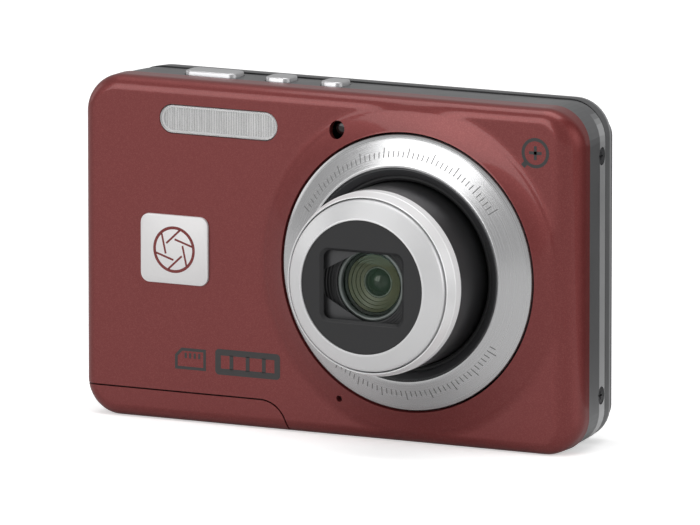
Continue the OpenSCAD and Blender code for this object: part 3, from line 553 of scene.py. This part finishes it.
def core_loop(w):
    """A closed loop on the rolled-out cover at distance w outside the core."""
    out = []
    for side_x, side_z, turn in ((1, 1, 0), (-1, 1, 1), (-1, -1, 2), (1, -1, 3)):
        r = (TOP_R if side_z > 0 else BASE_R) - CORE
        cx = side_x * (HALF_W - r - CORE)
        cz = BODY_H - TOP_R if side_z > 0 else BASE_R
        for i in range(25):
            a = (turn + i / 24) * QUARTER
            out.append((cx + (r + w) * math.cos(a), cz + (r + w) * math.sin(a)))
    filled = []
    for i, p in enumerate(out):
        q = out[(i + 1) % len(out)]
        n = max(1, int(math.hypot(q[0] - p[0], q[1] - p[1]) / 1.6))
        filled += [(p[0] + (q[0] - p[0]) * k / n, p[1] + (q[1] - p[1]) * k / n) for k in range(n)]
    return filled


def circle(x, z, r, n):
    return [(x + r * math.cos(2 * math.pi * i / n), z + r * math.sin(2 * math.pi * i / n))
            for i in range(n)]


def door_line(gap):
    """The door's seam on the rolled-out cover, from the left side to the base."""
    z = DOOR_H + gap
    reach = BASE_R - z
    x0 = -(HALF_W - BASE_R) - math.sqrt(BASE_R ** 2 - reach ** 2)
    n = 60
    seen = [(x0 + 1e-4 + (DOOR_MID - x0) * i / n, z) for i in range(n)]
    seen += [(DOOR_MID + z * math.sin(a), z * math.cos(a) + 1e-6)
             for a in [QUARTER * i / 40 for i in range(41)]]
    line = [unrolled(*p) for p in seen]
    ends = []
    for p in (line[0], line[-1]):
        _, nx, nz, fx, fz = from_core(*p)
        ends.append((fx + nx * (W_MAX + 1), fz + nz * (W_MAX + 1)))
    return [ends[0]] + line + [ends[1]]


def in_hole(x, z):
    if math.hypot(x - LENS_X, z - LENS_Z) < HOLE_R - 0.01:
        return True
    if math.hypot(x - LAMP_X, z - LAMP_Z) < LAMP_R - 0.003:
        return True
    if math.hypot(x - MIC_X, z - MIC_Z) < MIC_R - 0.002:
        return True
    dx = max(abs(x - FLASH_X) - (FLASH_W / 2 + FLASH_GAP - FLASH_HOLE_R), 0)
    dz = max(abs(z - FLASH_Z) - (FLASH_H / 2 + FLASH_GAP - FLASH_HOLE_R), 0)
    return math.hypot(dx, dz) < FLASH_HOLE_R - 0.003


def front_surfaces():
    """Points on the front, their outward directions, and the triangles of cover and door."""
    points, edges = [], []
    edge_start, edge_step, edge_loops = 0.6, 0.28, 27
    boss_step, boss_points = 0.33, 200
    grid, grid_x, grid_z = 2.0, 0.3, 0.2

    def add(loop, closed=True):
        base = len(points)
        points.extend(loop)
        count = len(loop)
        edges.extend((base + i, base + i + 1) for i in range(count - 1))
        if closed:
            edges.append((base + count - 1, base))

    # closely spaced loops over the edge, then the holes and both sides of the door's seam
    for w in [0.0] + [edge_start + edge_step * i for i in range(edge_loops)] + [W_MAX]:
        add(core_loop(w))
    add(circle(LENS_X, LENS_Z, HOLE_R, 240))
    add(rounded(FLASH_X, FLASH_Z, FLASH_W + 2 * FLASH_GAP, FLASH_H + 2 * FLASH_GAP,
                FLASH_HOLE_R, 0.0, 16))
    add(circle(LAMP_X, LAMP_Z, LAMP_R, 40))
    add(circle(MIC_X, MIC_Z, MIC_R, 24))
    add(door_line(0.0), False)
    add(door_line(SEAM), False)
    # rings of points over the boss, and an even grid over the flat part
    r = HOLE_R + 0.28
    while r < BOSS_R + 0.6:
        for p in circle(LENS_X, LENS_Z, r, boss_points):
            if from_core(*p)[0] < CORE - 1.4 and not in_hole(*p):
                points.append(p)
        r += boss_step
    for i in range(-21, 22):
        for k in range(2, 27):
            p = (i * grid + grid_x, k * grid + grid_z)
            far = math.hypot(p[0] - LENS_X, p[1] - LENS_Z)
            if from_core(*p)[0] < -0.5 and far > BOSS_R + 1:
                points.append(p)
    verts, _, tris, *_ = delaunay_2d_cdt([Vector(p) for p in points], edges, [], 0, 1e-5)
    spots = [rolled(v.x, v.y) for v in verts]
    ways = [cover_normal(v.x, v.y) for v in verts]
    parts = {"cover": [], "door": []}
    for tri in tris:
        u = sum(verts[i].x for i in tri) / 3
        v = sum(verts[i].y for i in tri) / 3
        if from_core(u, v)[0] > W_MAX + 1e-4:
            continue
        x, z = rolled(u, v)[1]
        if in_hole(x, z):
            continue
        if in_door(x, z, 0.0):
            parts["door"].append(tri)
        elif not in_door(x, z, SEAM):
            parts["cover"].append(tri)
    return spots, ways, parts


def shell(name, spots, ways, tris):
    """A skin of even thickness behind the outer surface, closed round its edges."""
    used = sorted({i for t in tris for i in t})
    index = {v: k for k, v in enumerate(used)}
    outer = [spots[i][0] for i in used]
    inner = [spots[i][0] - ways[i] * SKIN for i in used]
    n = len(used)
    faces, normals = [], []
    count = {}
    for t in tris:
        a, b, c = (index[i] for i in t)
        way = (outer[b] - outer[a]).cross(outer[c] - outer[a])
        if way.dot(ways[t[0]]) < 0:
            b, c = c, b
        faces.append((a, b, c))
        normals += [ways[used[k]] for k in (a, b, c)]
        faces.append((a + n, c + n, b + n))
        normals += [-ways[used[k]] for k in (a, c, b)]
        for e in ((a, b), (b, c), (c, a)):
            count[e] = count.get(e, 0) + 1
    for a, b in [e for e in count if (e[1], e[0]) not in count]:
        way = (outer[a] - outer[b]).cross(inner[b] - outer[b])
        if way.length > 0:
            way.normalize()
        faces.append((b, a, a + n, b + n))
        normals += [way] * 4
    me = bpy.data.meshes.new(name)
    me.from_pydata([p * MM for p in outer + inner], [], faces)
    me.polygons.foreach_set("use_smooth", [True] * len(me.polygons))
    me.normals_split_custom_set(normals)
    me.materials.append(RED)
    return bpy.data.objects.new(name, me)


spots, ways, parts = front_surfaces()
place(shell("front_cover_skin", spots, ways, parts["cover"]), "camera", ["front_cover"])
place(shell("door_front_skin", spots, ways, parts["door"]), "door", ["door_skin"])


# ---------- lens ring and barrels ----------

BOSS = -BOSS_H
LIP_R = 17.65
LIP = BOSS - 2.4
CONE_OUT_R, CONE_OUT = RING_R - 0.82, BOSS - 0.44
CONE_IN_R = LIP_R + 0.55
lathe("chrome_ring", [
    (RING_R, 0.8), (RING_R, BOSS + 0.15), (RING_R - 0.08, BOSS + 0.02),
    (RING_R - 0.75, BOSS - 0.42), (CONE_OUT_R, CONE_OUT), (CONE_IN_R, LIP),
    (LIP_R + 0.4, LIP - 0.04), (LIP_R + 0.1, LIP - 0.02), (LIP_R, LIP + 0.12),
    (LIP_R - 0.14, LIP + 0.4), (LIP_R - 0.14, 0.8)
], CHROME, nodes=["lens_trim_ring"], segments=256, angle=20)


def ring_marks():
    """Fine strokes round the cone of the ring, in two groups, every fifth one longer."""
    points, faces = [], []
    rise = (LIP - CONE_OUT) / (CONE_IN_R - CONE_OUT_R)
    inner_r, short, long = 19.35, 0.95, 1.55
    half_turn, step = 0.0042, 2.6
    under, over = -0.012, 0.02
    groups = ((35, 152), (207, 327))
    for first, last in groups:
        a = first
        k = 0
        while a <= last:
            outer_r = inner_r + (long if k % 5 == 0 else short)
            b = len(points)
            for lift in (under, over):
                for r in (inner_r, outer_r):
                    d = CONE_OUT + rise * (r - CONE_OUT_R) + lift
                    for side in (-1, 1):
                        t = math.radians(a) + side * half_turn
                        points.append((LENS_X + r * math.cos(t), FRONT + d,
                                       LENS_Z + r * math.sin(t)))
            faces += [(b, b + 1, b + 3, b + 2), (b + 4, b + 6, b + 7, b + 5),
                      (b, b + 4, b + 5, b + 1), (b + 2, b + 3, b + 7, b + 6),
                      (b, b + 2, b + 6, b + 4), (b + 1, b + 5, b + 7, b + 3)]
            a += step
            k += 1
    return make("ring_marks", points, faces, MARK)


ring_marks()
SURROUND_R = 16.25
lathe("dark_inner_ring", [
    (LIP_R - 0.16, 0.8), (LIP_R - 0.16, LIP + 0.45), (LIP_R - 0.3, LIP + 0.4),
    (SURROUND_R + 0.2, LIP + 0.85), (SURROUND_R, LIP + 1.05), (SURROUND_R, 0.8)
], DARK_RING, nodes=["lens_surround"])
lathe("barrel_seal", [
    (SURROUND_R - 0.02, 0.8), (SURROUND_R - 0.02, LIP + 1.3), (15.8, LIP + 1.2),
    (15.45, LIP + 1.4), (15.35, LIP + 1.8), (15.34, 0.8)
], SEAL, nodes=["lens_seal"])

OUTER_R = 15.25
INNER_R = 14.2
INNER_BACK = -6.0
WALL = 0.75
TIP = trim_low[1] - FRONT
TRIM_BACK = trim_high[1] - FRONT
lathe("outer_barrel_tube", [
    (OUTER_R, 0.6), (OUTER_R, TRIM_BACK + 0.12), (OUTER_R - 0.1, TRIM_BACK + 0.02),
    (OUTER_R - WALL, TRIM_BACK + 0.02), (OUTER_R - WALL, 0.6)
], BARREL, body="outer_tube", nodes=["outer_barrel"], segments=256)
lathe("outer_barrel_end", [
    (OUTER_R - 0.08, TRIM_BACK), (OUTER_R, TRIM_BACK - 0.1),
    (OUTER_R, TIP + 2.12), (OUTER_R - 0.03, TIP + 2.0), (OUTER_R - 0.1, TIP + 1.9),
    (14.66, TIP + 0.12), (14.6, TIP + 0.02), (14.5, TIP), (14.42, TIP + 0.1),
    (14.4, TRIM_BACK)
], TRIM, body="outer_tube", nodes=["outer_trim"], segments=256, angle=12)
lathe("inner_barrel_tube", [
    (INNER_R, TIP + 0.2), (INNER_R, INNER_BACK), (INNER_R - WALL, INNER_BACK),
    (INNER_R - WALL, TIP + 0.2)
], BARREL, body="inner_tube", nodes=["inner_barrel"])

NOSE = bezel_low[1] - FRONT
PLATE_R = 11.05
lathe("inner_bezel_ring", [
    (INNER_R + 0.1, TIP + 0.6), (INNER_R - 0.02, TIP + 0.1), (INNER_R - 0.08, TIP - 0.2),
    (INNER_R - 0.2, TIP - 0.42), (INNER_R - 0.42, TIP - 0.64), (INNER_R - 0.7, TIP - 0.83),
    (PLATE_R + 0.35, NOSE + 0.03), (PLATE_R + 0.12, NOSE), (PLATE_R + 0.02, NOSE + 0.06),
    (PLATE_R, NOSE + 0.2), (PLATE_R, NOSE + 0.8), (PLATE_R + 1.4, NOSE + 1.4),
    (INNER_R - WALL, NOSE + 1.6), (INNER_R - WALL, TIP + 0.6)
], BEZEL, body="inner_tube", nodes=["inner_bezel"], segments=256, angle=16)

WINDOW_W, WINDOW_H, WINDOW_R = 14.4, 11.3, 1.2
PLATE_STEPS = 256


def polar_rect(w, h, r, n):
    """A rounded rectangle about the lens axis with its points at even angles."""
    out = []
    for i in range(n):
        a = 2 * math.pi * i / n
        c, s = math.cos(a), math.sin(a)
        low, high = 0.0, w + h
        for _ in range(30):
            mid = (low + high) / 2
            dx = max(abs(mid * c) - (w / 2 - r), 0)
            dz = max(abs(mid * s) - (h / 2 - r), 0)
            if math.hypot(dx, dz) < r:
                low = mid
            else:
                high = mid
        out.append((LENS_X + low * c, LENS_Z + low * s))
    return out


def plate_section(kind, depth):
    if kind[0] == "circle":
        return stood(circle(LENS_X, LENS_Z, kind[1], PLATE_STEPS), depth)
    return stood(polar_rect(kind[1], kind[2], kind[3], PLATE_STEPS), depth)


plate_sections = [
    (("circle", PLATE_R - 0.02), NOSE + 0.75), (("circle", PLATE_R - 0.02), NOSE + 0.3),
    (("circle", PLATE_R - 0.1), NOSE + 0.22),
    (("rect", WINDOW_W + 1.1, WINDOW_H + 1.0, WINDOW_R + 0.5), NOSE + 0.2),
    (("rect", WINDOW_W + 1.0, WINDOW_H + 0.9, WINDOW_R + 0.45), NOSE + 0.22),
    (("rect", WINDOW_W + 0.12, WINDOW_H + 0.1, WINDOW_R + 0.05), NOSE + 0.58),
    (("rect", WINDOW_W, WINDOW_H, WINDOW_R), NOSE + 0.64),
    (("rect", WINDOW_W, WINDOW_H, WINDOW_R), NOSE + 0.75)
]
loft("front_plate", [plate_section(k, d) for k, d in plate_sections], PLATE, "inner_tube",
     ["lens_front_plate"], angle=18, hollow=True)

# the ribbed cell behind the blades, the front glass and the lens deeper inside
CELL = NOSE + 2.17
CELL_R = INNER_R - WALL - 0.01
GLASS_R = 5.41
INNER_GLASS_R = 2.27
funnel = [(CELL_R, CELL), (9.4, CELL)]
for i in range(7):
    r = 9.2 - i * 0.44
    d = CELL + 0.08 + i * 0.16
    funnel += [(r, d), (r - 0.14, d + 0.14)]
funnel += [(6.15, CELL + 1.25), (6.1, CELL + 1.4), (6.1, CELL + 4.4),
           (CELL_R, CELL + 4.4)]
lathe("front_cell", funnel, BAFFLE, "inner_tube", ["front_group"], angle=10)
lathe("front_cell_ring", [
    (6.08, CELL + 1.42), (5.95, CELL + 1.26), (5.7, CELL + 1.22), (5.5, CELL + 1.34),
    (5.42, CELL + 1.6), (5.42, CELL + 2.0), (6.08, CELL + 2.0)
], CELL_GREY, "inner_tube", angle=60)
lathe("front_cell_throat", [
    (6.08, CELL + 2.02), (5.4, CELL + 2.02), (5.3, CELL + 2.3), (4.85, CELL + 2.4),
    (4.75, CELL + 2.8), (4.75, CELL + 4.3), (6.08, CELL + 4.3)
], BAFFLE, "inner_tube", angle=15)
lathe("front_cell_cone", [
    (4.74, CELL + 2.45), (4.3, CELL + 2.65), (4.25, CELL + 2.9), (3.75, CELL + 3.08),
    (3.7, CELL + 3.3), (3.2, CELL + 3.48), (3.15, CELL + 3.7), (2.62, CELL + 3.85),
    (2.62, CELL + 4.35), (4.74, CELL + 4.35)
], OLIVE, "inner_tube", angle=15)
lathe("inner_lens_rim", [
    (2.6, CELL + 3.92), (2.5, CELL + 3.8), (2.36, CELL + 3.8), (2.28, CELL + 3.95),
    (2.28, CELL + 4.35), (2.6, CELL + 4.35)
], RIM_GREY, "inner_tube", angle=50)
dome("inner_element", INNER_GLASS_R, CELL + 3.05, CELL + 4.1, CELL + 4.33, LENS_DARK,
     "inner_tube", steps=14)
dome("front_element", GLASS_R, CELL + 1.5, CELL + 2.0, CELL + 2.01, LENS_CLEAR,
     "inner_tube", steps=16)


# ---------- flash, focus lamp, badge and prints ----------

slot_r = FLASH_H / 2 - 0.01
pad("flash_cover", FLASH_X, FLASH_Z, FLASH_W, FLASH_H, slot_r, [
    (0.0, 0.30), (0.0, -0.05), (0.06, -0.13), (0.18, -0.15), (0.45, -0.14), (0.5, -0.10)
], FLASH_CLEAR, nodes=["flash_window"])
rim_out = rounded(FLASH_X, FLASH_Z, FLASH_W, FLASH_H, slot_r, 0.03)
rim_in = rounded(FLASH_X, FLASH_Z, FLASH_W, FLASH_H, slot_r, 0.42)
loft("flash_rim", [stood(rim_out, 0.32), stood(rim_in, 0.32), stood(rim_in, 0.95),
                   stood(rim_out, 0.95)], FLASH_RIM, hollow=True)
# a dark strip inside the window along its bottom edge: painted shade
pad("flash_lower_shade_strip", FLASH_X + 0.2, FLASH_Z - FLASH_H / 2 + 0.95, FLASH_W - 3.0, 0.75, 0.2, [
    (0.0, 1.0), (0.0, 0.82), (0.08, 0.78)
], FLASH_SHADE)


def fresnel_sheet():
    """Upright ribs on the inside of the flash window, closer together at the left."""
    left, right = FLASH_X - FLASH_W / 2 + 0.7, FLASH_X + FLASH_W / 2 - 0.7
    crest, groove, back = 0.38, 0.62, 0.75
    x = left
    edge = []
    while x < right:
        pitch = 0.34 + 0.5 * max(0.0, (x - left) / (right - left) - 0.35)
        edge += [(x, groove), (x + pitch * 0.5, crest)]
        x += pitch
    edge.append((right, groove))
    half = FLASH_H / 2 - 0.25
    points, faces = [], []
    for ex, ed in edge:
        short = max(0.0, abs(ex - FLASH_X) - (FLASH_W / 2 - slot_r))
        tall = min(half, math.sqrt(max(slot_r ** 2 - short ** 2, 0.05)) - 0.2)
        for z in (-tall, tall):
            points += [(ex, FRONT + ed, FLASH_Z + z), (ex, FRONT + back, FLASH_Z + z)]
    for i in range(len(edge) - 1):
        a, b = 4 * i, 4 * (i + 1)
        faces += [(a, b, b + 2, a + 2), (a + 1, a + 3, b + 3, b + 1), (a, a + 1, b + 1, b),
                  (a + 2, b + 2, b + 3, a + 3)]
    end = 4 * len(edge)
    faces += [(0, 2, 3, 1), (end - 4, end - 3, end - 1, end - 2)]
    return make("flash_ribs", points, faces, FLASH_RIBBED, angle=5)


fresnel_sheet()


def flash_trough():
    """The curved mirror behind the flash tube."""
    points, faces = [], []
    half = FLASH_W / 2 - 0.5
    steps = 16
    for x in (FLASH_X - half, FLASH_X + half):
        for i in range(steps + 1):
            t = 2 * i / steps - 1
            points.append((x, FRONT + 1.1 + 3.9 * (1 - t * t), FLASH_Z + t * (FLASH_H / 2 + 0.1)))
        for i in range(steps + 1):
            t = 1 - 2 * i / steps
            points.append((x, FRONT + 1.5 + 4.3 * (1 - t * t),
                           FLASH_Z + t * (FLASH_H / 2 + 0.5)))
    n = 2 * (steps + 1)
    for i in range(n):
        j = (i + 1) % n
        faces.append((i, j, n + j, n + i))
    for side in (0, n):
        for i in range(steps):
            faces.append((side + i, side + i + 1, side + n - 2 - i, side + n - 1 - i))
    return make("flash_mirror", points, faces, MIRROR, nodes=["flash_reflector"])


flash_trough()
for name, x in (("flash_end_left", FLASH_X - FLASH_W / 2 + 0.3),
                ("flash_end_right", FLASH_X + FLASH_W / 2 - 0.3)):
    loft(name, [[(x - 0.2 + s, FRONT + d, FLASH_Z + z) for d, z in
                 ((1.05, -2.5), (1.05, 2.5), (3.5, 2.1), (5.5, 0.6), (5.5, -0.6), (3.5, -2.1))]
                for s in (0.0, 0.4)], MIRROR, angle=20)

TUBE_D = 3.7
tube = []
for x, r in ((-1.0, 0.3), (-0.985, 0.62), (-0.95, 0.72), (0.95, 0.72), (0.985, 0.62), (1.0, 0.3)):
    tube.append([(FLASH_X + x * (FLASH_W / 2 - 0.9), FRONT + TUBE_D + r * math.cos(a),
                  FLASH_Z + r * math.sin(a)) for a in [math.pi * i / 12 for i in range(24)]])
loft("flash_tube_glass", tube, TUBE, nodes=["flash_tube"], angle=40)

lamp_loops = [stood(circle(LAMP_X, LAMP_Z, LAMP_LENS_R * share, 48), d) for share, d in
              ((1.0, 3.9), (1.0, 1.45), (0.93, 1.25), (0.75, 1.14), (0.3, 1.1))]
loft("focus_lamp_lens", lamp_loops, LAMP_DARK, nodes=["af_lamp"], angle=50)

badge_low, badge_high = box_mm("badge")
BADGE_X, BADGE_Z = (badge_low[0] + badge_high[0]) / 2, (badge_low[2] + badge_high[2]) / 2
BADGE_W, BADGE_H = badge_high[0] - badge_low[0], badge_high[2] - badge_low[2]
BADGE_D = badge_low[1] - FRONT
pad("badge_plate", BADGE_X, BADGE_Z, BADGE_W, BADGE_H, 1.6, [
    (0.0, 0.0), (0.0, BADGE_D + 0.12), (0.05, BADGE_D + 0.03), (0.14, BADGE_D)
], BADGE, nodes=["badge"])


def flat_ring(name, x, z, r_out, r_in, depth, thick, material):
    loops = [stood(circle(x, z, r, 96), d) for r, d in
             ((r_out, depth), (r_out, depth - thick), (r_in, depth - thick), (r_in, depth))]
    return loft(name, loops, material, hollow=True, angle=30)


def print_outline(name, outer, hole):
    """A printed outline on the front between two loops of equal length."""
    loops = [stood(outer, 0.0), stood(outer, -PRINT_T), stood(hole, -PRINT_T), stood(hole, 0.0)]
    return loft(name, loops, PRINT_DARK, hollow=True)


def stroke(x0, z0, x1, z1, width):
    """The four corners of a straight stroke from one point to another."""
    dx, dz = x1 - x0, z1 - z0
    far = math.hypot(dx, dz)
    px, pz = -dz / far * width / 2, dx / far * width / 2
    return [(x0 + px, z0 + pz), (x1 + px, z1 + pz), (x1 - px, z1 - pz), (x0 - px, z0 - pz)]


def print_bar(name, x0, z0, x1, z1, width):
    loop = stroke(x0, z0, x1, z1, width)
    return loft(name, [stood(loop, 0.0), stood(loop, -PRINT_T)], PRINT_DARK)


# aperture sign on the badge
SIGN_T = 0.01
flat_ring("badge_circle", BADGE_X, BADGE_Z, 3.9, 3.4, BADGE_D, SIGN_T, RED)
for i in range(6):
    a = math.radians(60 * i + 12)
    b = a + math.radians(74)
    loop = stroke(BADGE_X + 3.45 * math.cos(a), BADGE_Z + 3.45 * math.sin(a),
                  BADGE_X + 1.75 * math.cos(b), BADGE_Z + 1.75 * math.sin(b), 0.34)
    loft(f"badge_blade_{i}", [stood(loop, BADGE_D), stood(loop, BADGE_D - SIGN_T)], RED)

# memory card sign
card_x, card_z = -25.4, 10.7
outline = [(-2.9, -1.8), (2.9, -1.8), (2.9, 1.8), (-1.7, 1.8), (-2.9, 0.6)]
inner = [(-2.4, -1.3), (2.4, -1.3), (2.4, 1.3), (-1.5, 1.3), (-2.4, 0.4)]
print_outline("print_card", [(card_x + x, card_z + z) for x, z in outline],
              [(card_x + x, card_z + z) for x, z in inner])
for i in range(4):
    x = card_x - 0.9 + i * 0.85
    print_bar(f"print_card_pin_{i}", x, card_z + 0.1, x, card_z + 1.0, 0.4)

# film strip sign
strip_x, strip_z, strip_w, strip_h, strip_r = -14.7, 10.7, 12.1, 4.3, 0.7
print_outline("print_strip", rounded(strip_x, strip_z, strip_w, strip_h, strip_r),
              rounded(strip_x, strip_z, strip_w, strip_h, strip_r, 1.05))
for i in range(1, 4):
    x = strip_x - strip_w / 2 + i * strip_w / 4
    print_bar(f"print_strip_bar_{i}", x, strip_z - 1.2, x, strip_z + 1.2, 0.7)

# zoom sign
zoom_x, zoom_z = 38.3, 50.0
flat_ring("print_zoom_ring", zoom_x, zoom_z, 2.5, 1.95, 0.0, PRINT_T, PRINT_DARK)
print_bar("print_zoom_plus_a", zoom_x - 1.15, zoom_z, zoom_x + 1.15, zoom_z, 0.5)
print_bar("print_zoom_plus_b", zoom_x, zoom_z - 1.15, zoom_x, zoom_z + 1.15, 0.5)
print_bar("print_zoom_handle", zoom_x - 1.75, zoom_z - 1.75, zoom_x - 3.4, zoom_z - 3.4, 0.85)


# ---------- top buttons ----------

CAP_FLANGE = 0.6
CAP_R = 1.2


def top_button(node, body):
    """The CAD button with its cap's edges rounded over."""
    low, high = box_mm(node)
    wide = high[0] - low[0] - 2 * CAP_FLANGE
    deep = high[1] - low[1] - 2 * CAP_FLANGE
    cx, cy, top = (low[0] + high[0]) / 2, (low[1] + high[1]) / 2, high[2]
    loops = []
    for inset, z in ((-CAP_FLANGE, BODY_H - 2.3), (-CAP_FLANGE, BODY_H - 1.6),
                     (0.0, BODY_H - 1.6), (0.0, top - 0.3), (0.05, top - 0.16),
                     (0.16, top - 0.06), (0.34, top - 0.01), (0.8, top)):
        loops.append([(x, y, z) for x, y in rounded(cx, cy, wide, deep, CAP_R, inset, 8)])
    return loft(node + "_cap", loops, SILVER, body, [node], angle=60)


for node, body in (("shutter_button", "shutter"), ("power_button", "power"),
                   ("mode_button", "mode")):
    top_button(node, body)


# ---------- materials of the CAD nodes that stay ----------

LOOKS = {
    "mid_frame": FRAME_PAINTED_BEVEL, "rear_cover": REAR_COVER_PAINTED_LIGHT, "rear_panel": PANEL,
    "lcd_window": GLASS_BLACK, "battery_door": GUNMETAL, "strap_lug": STEEL,
    "body_screws": surface("screw_dark", (0.13, 0.13, 0.135), 0.8, 0.3),
    "tripod_socket": STEEL, "usb_socket": STEEL,
    "zoom_rocker": SILVER, "nav_ring": SILVER, "ok_button": SILVER,
    "play_button": SILVER, "record_button": SILVER, "menu_button": SILVER,
    "delete_button": SILVER,
    "upper_blade": surface("blade_grey", (0.05, 0.05, 0.052), 0.3, 0.4),
    "lower_blade": surface("blade_grey_low", (0.05, 0.05, 0.052), 0.3, 0.4),
    "battery": surface("battery_wrap", (0.09, 0.092, 0.10), 0.0, 0.45),
    "memory_card": surface("card_blue", (0.02, 0.05, 0.19), 0.0, 0.4),
    "main_board": surface("board_green", (0.012, 0.10, 0.035), 0.0, 0.35),
    "sensor_board": surface("board_green_small", (0.012, 0.10, 0.035), 0.0, 0.35),
    "image_sensor": surface("sensor_glass", (0.02, 0.05, 0.05), 0.2, 0.1),
    "zoom_motor": STEEL, "card_slot": STEEL, "microphone": STEEL,
    "battery_latch": surface("latch_orange", (0.8, 0.25, 0.02), 0.0, 0.4),
    "motor_pinion": surface("brass", (0.75, 0.5, 0.15), 1.0, 0.3),
    "idler_gear": surface("white_nylon", (0.75, 0.75, 0.72), 0.0, 0.4),
    "cam_ring": surface("cam_grey", (0.28, 0.28, 0.29), 0.3, 0.4),
    "flash_capacitor": surface("capacitor_wrap", (0.02, 0.035, 0.06), 0.0, 0.35),
    "chassis": STEEL, "lcd_module": surface("module_grey", (0.08, 0.085, 0.09), 0.2, 0.4),
    "rear_switches": STEEL, "top_switches": surface("switch_board", (0.02, 0.12, 0.05), 0.0, 0.4),
    "door_carriage": STEEL,
}
SOFTENED = ("mid_frame", "rear_panel", "zoom_rocker", "nav_ring", "ok_button", "battery_door")
SOFT_EDGE = 0.12
for name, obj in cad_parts.items():
    if obj.hide_render:
        continue
    obj.data.materials.clear()
    obj.data.materials.append(LOOKS.get(name, BLACK))
    obj.data.polygons.foreach_set("use_smooth", [True] * len(obj.data.polygons))
    obj.data.set_sharp_from_angle(angle=math.radians(28))
    if name in SOFTENED:
        edge = obj.modifiers.new("soft_edge", "BEVEL")
        edge.width = SOFT_EDGE * MM
        edge.segments = 2
        edge.limit_method = "ANGLE"
        edge.angle_limit = math.radians(40)
        edge.harden_normals = False


# ---------- floor, lights and camera ----------

# lengths in this part are in metres; MM turns the target's millimetres into them
REACH = 3.0
UNDER_FLOOR = 0.0004
CAMERA_FAR = 2.059
LENS_MM = 645.5


def sheet(name, corners, look):
    me = bpy.data.meshes.new(name)
    me.from_pydata(corners, [], [(0, 1, 2, 3)])
    me.materials.append(look)
    obj = bpy.data.objects.new(name, me)
    bpy.context.scene.collection.objects.link(obj)
    return obj


def level(name, z, look):
    """A wide level sheet at height z."""
    return sheet(name, [(-REACH, -REACH, z), (REACH, -REACH, z), (REACH, REACH, z),
                        (-REACH, REACH, z)], look)


floor_look = surface("floor_white", (0.90, 0.90, 0.90), 0.0, 0.9, spread=0.01, grain=60.0,
                     grain_bump=0.02, specular=0.1)
glow = floor_look.node_tree.nodes["Principled BSDF"]
glow.inputs["Emission Color"].default_value = (1, 1, 1, 1)
glow.inputs["Emission Strength"].default_value = 0.42
floor = level("floor", 0.0, floor_look)
floor.visible_glossy = False
floor.visible_diffuse = False
floor.visible_shadow = False
# the table as the camera body sees it, a little darker than the white floor
table = level("table", -UNDER_FLOOR,
              surface("table_grey", (0.68, 0.68, 0.68), 0.0, 0.9, grain=60.0, grain_bump=0.02))
table.visible_camera = False

world = bpy.data.worlds.new("studio")
bpy.context.scene.world = world
world.use_nodes = True
background = world.node_tree.nodes["Background"]
background.inputs["Color"].default_value = (1, 1, 1, 1)
background.inputs["Strength"].default_value = 0.42


def lamp(name, where, target, size, power, tall=None):
    light = bpy.data.lights.new(name, "AREA")
    light.shape = "RECTANGLE"
    light.size = size
    light.size_y = tall or size
    light.energy = power
    obj = bpy.data.objects.new(name, light)
    obj.location = where
    way = Vector(target) - Vector(where)
    obj.rotation_mode = "QUATERNION"
    obj.rotation_quaternion = way.to_track_quat("-Z", "Y")
    bpy.context.scene.collection.objects.link(obj)
    return obj


middle = Vector((0, 0, 0.03))
lamp("key", (-0.45, -1.3, 0.55), middle, 1.0, 8.6)
lamp("top", (0.0, -0.05, 0.9), middle, 0.9, 3.8, 0.5)
lamp("left", (-1.1, -0.1, 0.35), middle, 0.5, 0.8)
lamp("right", (1.2, 0.05, 0.35), middle, 0.7, 6.0)

# black cards that only reflections see, for the dark parts of the ring and the barrel
CARD = surface("card_black", (0.02, 0.02, 0.02), 0.0, 0.8)
for name, corners in (
    ("card_right", [(0.30, -0.10, 0.0), (0.42, 0.45, 0.0), (0.42, 0.45, 0.5), (0.30, -0.10, 0.5)]),
    ("card_low_right", [(0.055, 0.03, 0.001), (0.4, -0.1, 0.001), (0.5, 0.5, 0.001),
                        (0.055, 0.5, 0.001)]),
):
    card = sheet(name, corners, CARD)
    card.visible_camera = False
    card.visible_diffuse = False
    card.visible_shadow = False

AZIMUTH, ELEVATION = math.radians(27.5), math.radians(9.77)
back = Vector((math.sin(AZIMUTH) * math.cos(ELEVATION),
               -math.cos(AZIMUTH) * math.cos(ELEVATION), math.sin(ELEVATION)))
target = Vector((4.26, FRONT + 0.15, 29.24)) * MM
camera_data = bpy.data.cameras.new("camera")
camera_data.sensor_width = 36.0
camera_data.lens = LENS_MM
camera_data.clip_start = 0.05
camera_data.clip_end = 20.0
camera = bpy.data.objects.new("camera", camera_data)
camera.location = target + back * CAMERA_FAR
camera.rotation_mode = "QUATERNION"
camera.rotation_quaternion = (-back).to_track_quat("-Z", "Y")
bpy.context.scene.collection.objects.link(camera)
bpy.context.scene.camera = camera
bpy.context.scene.view_settings.view_transform = "Standard"
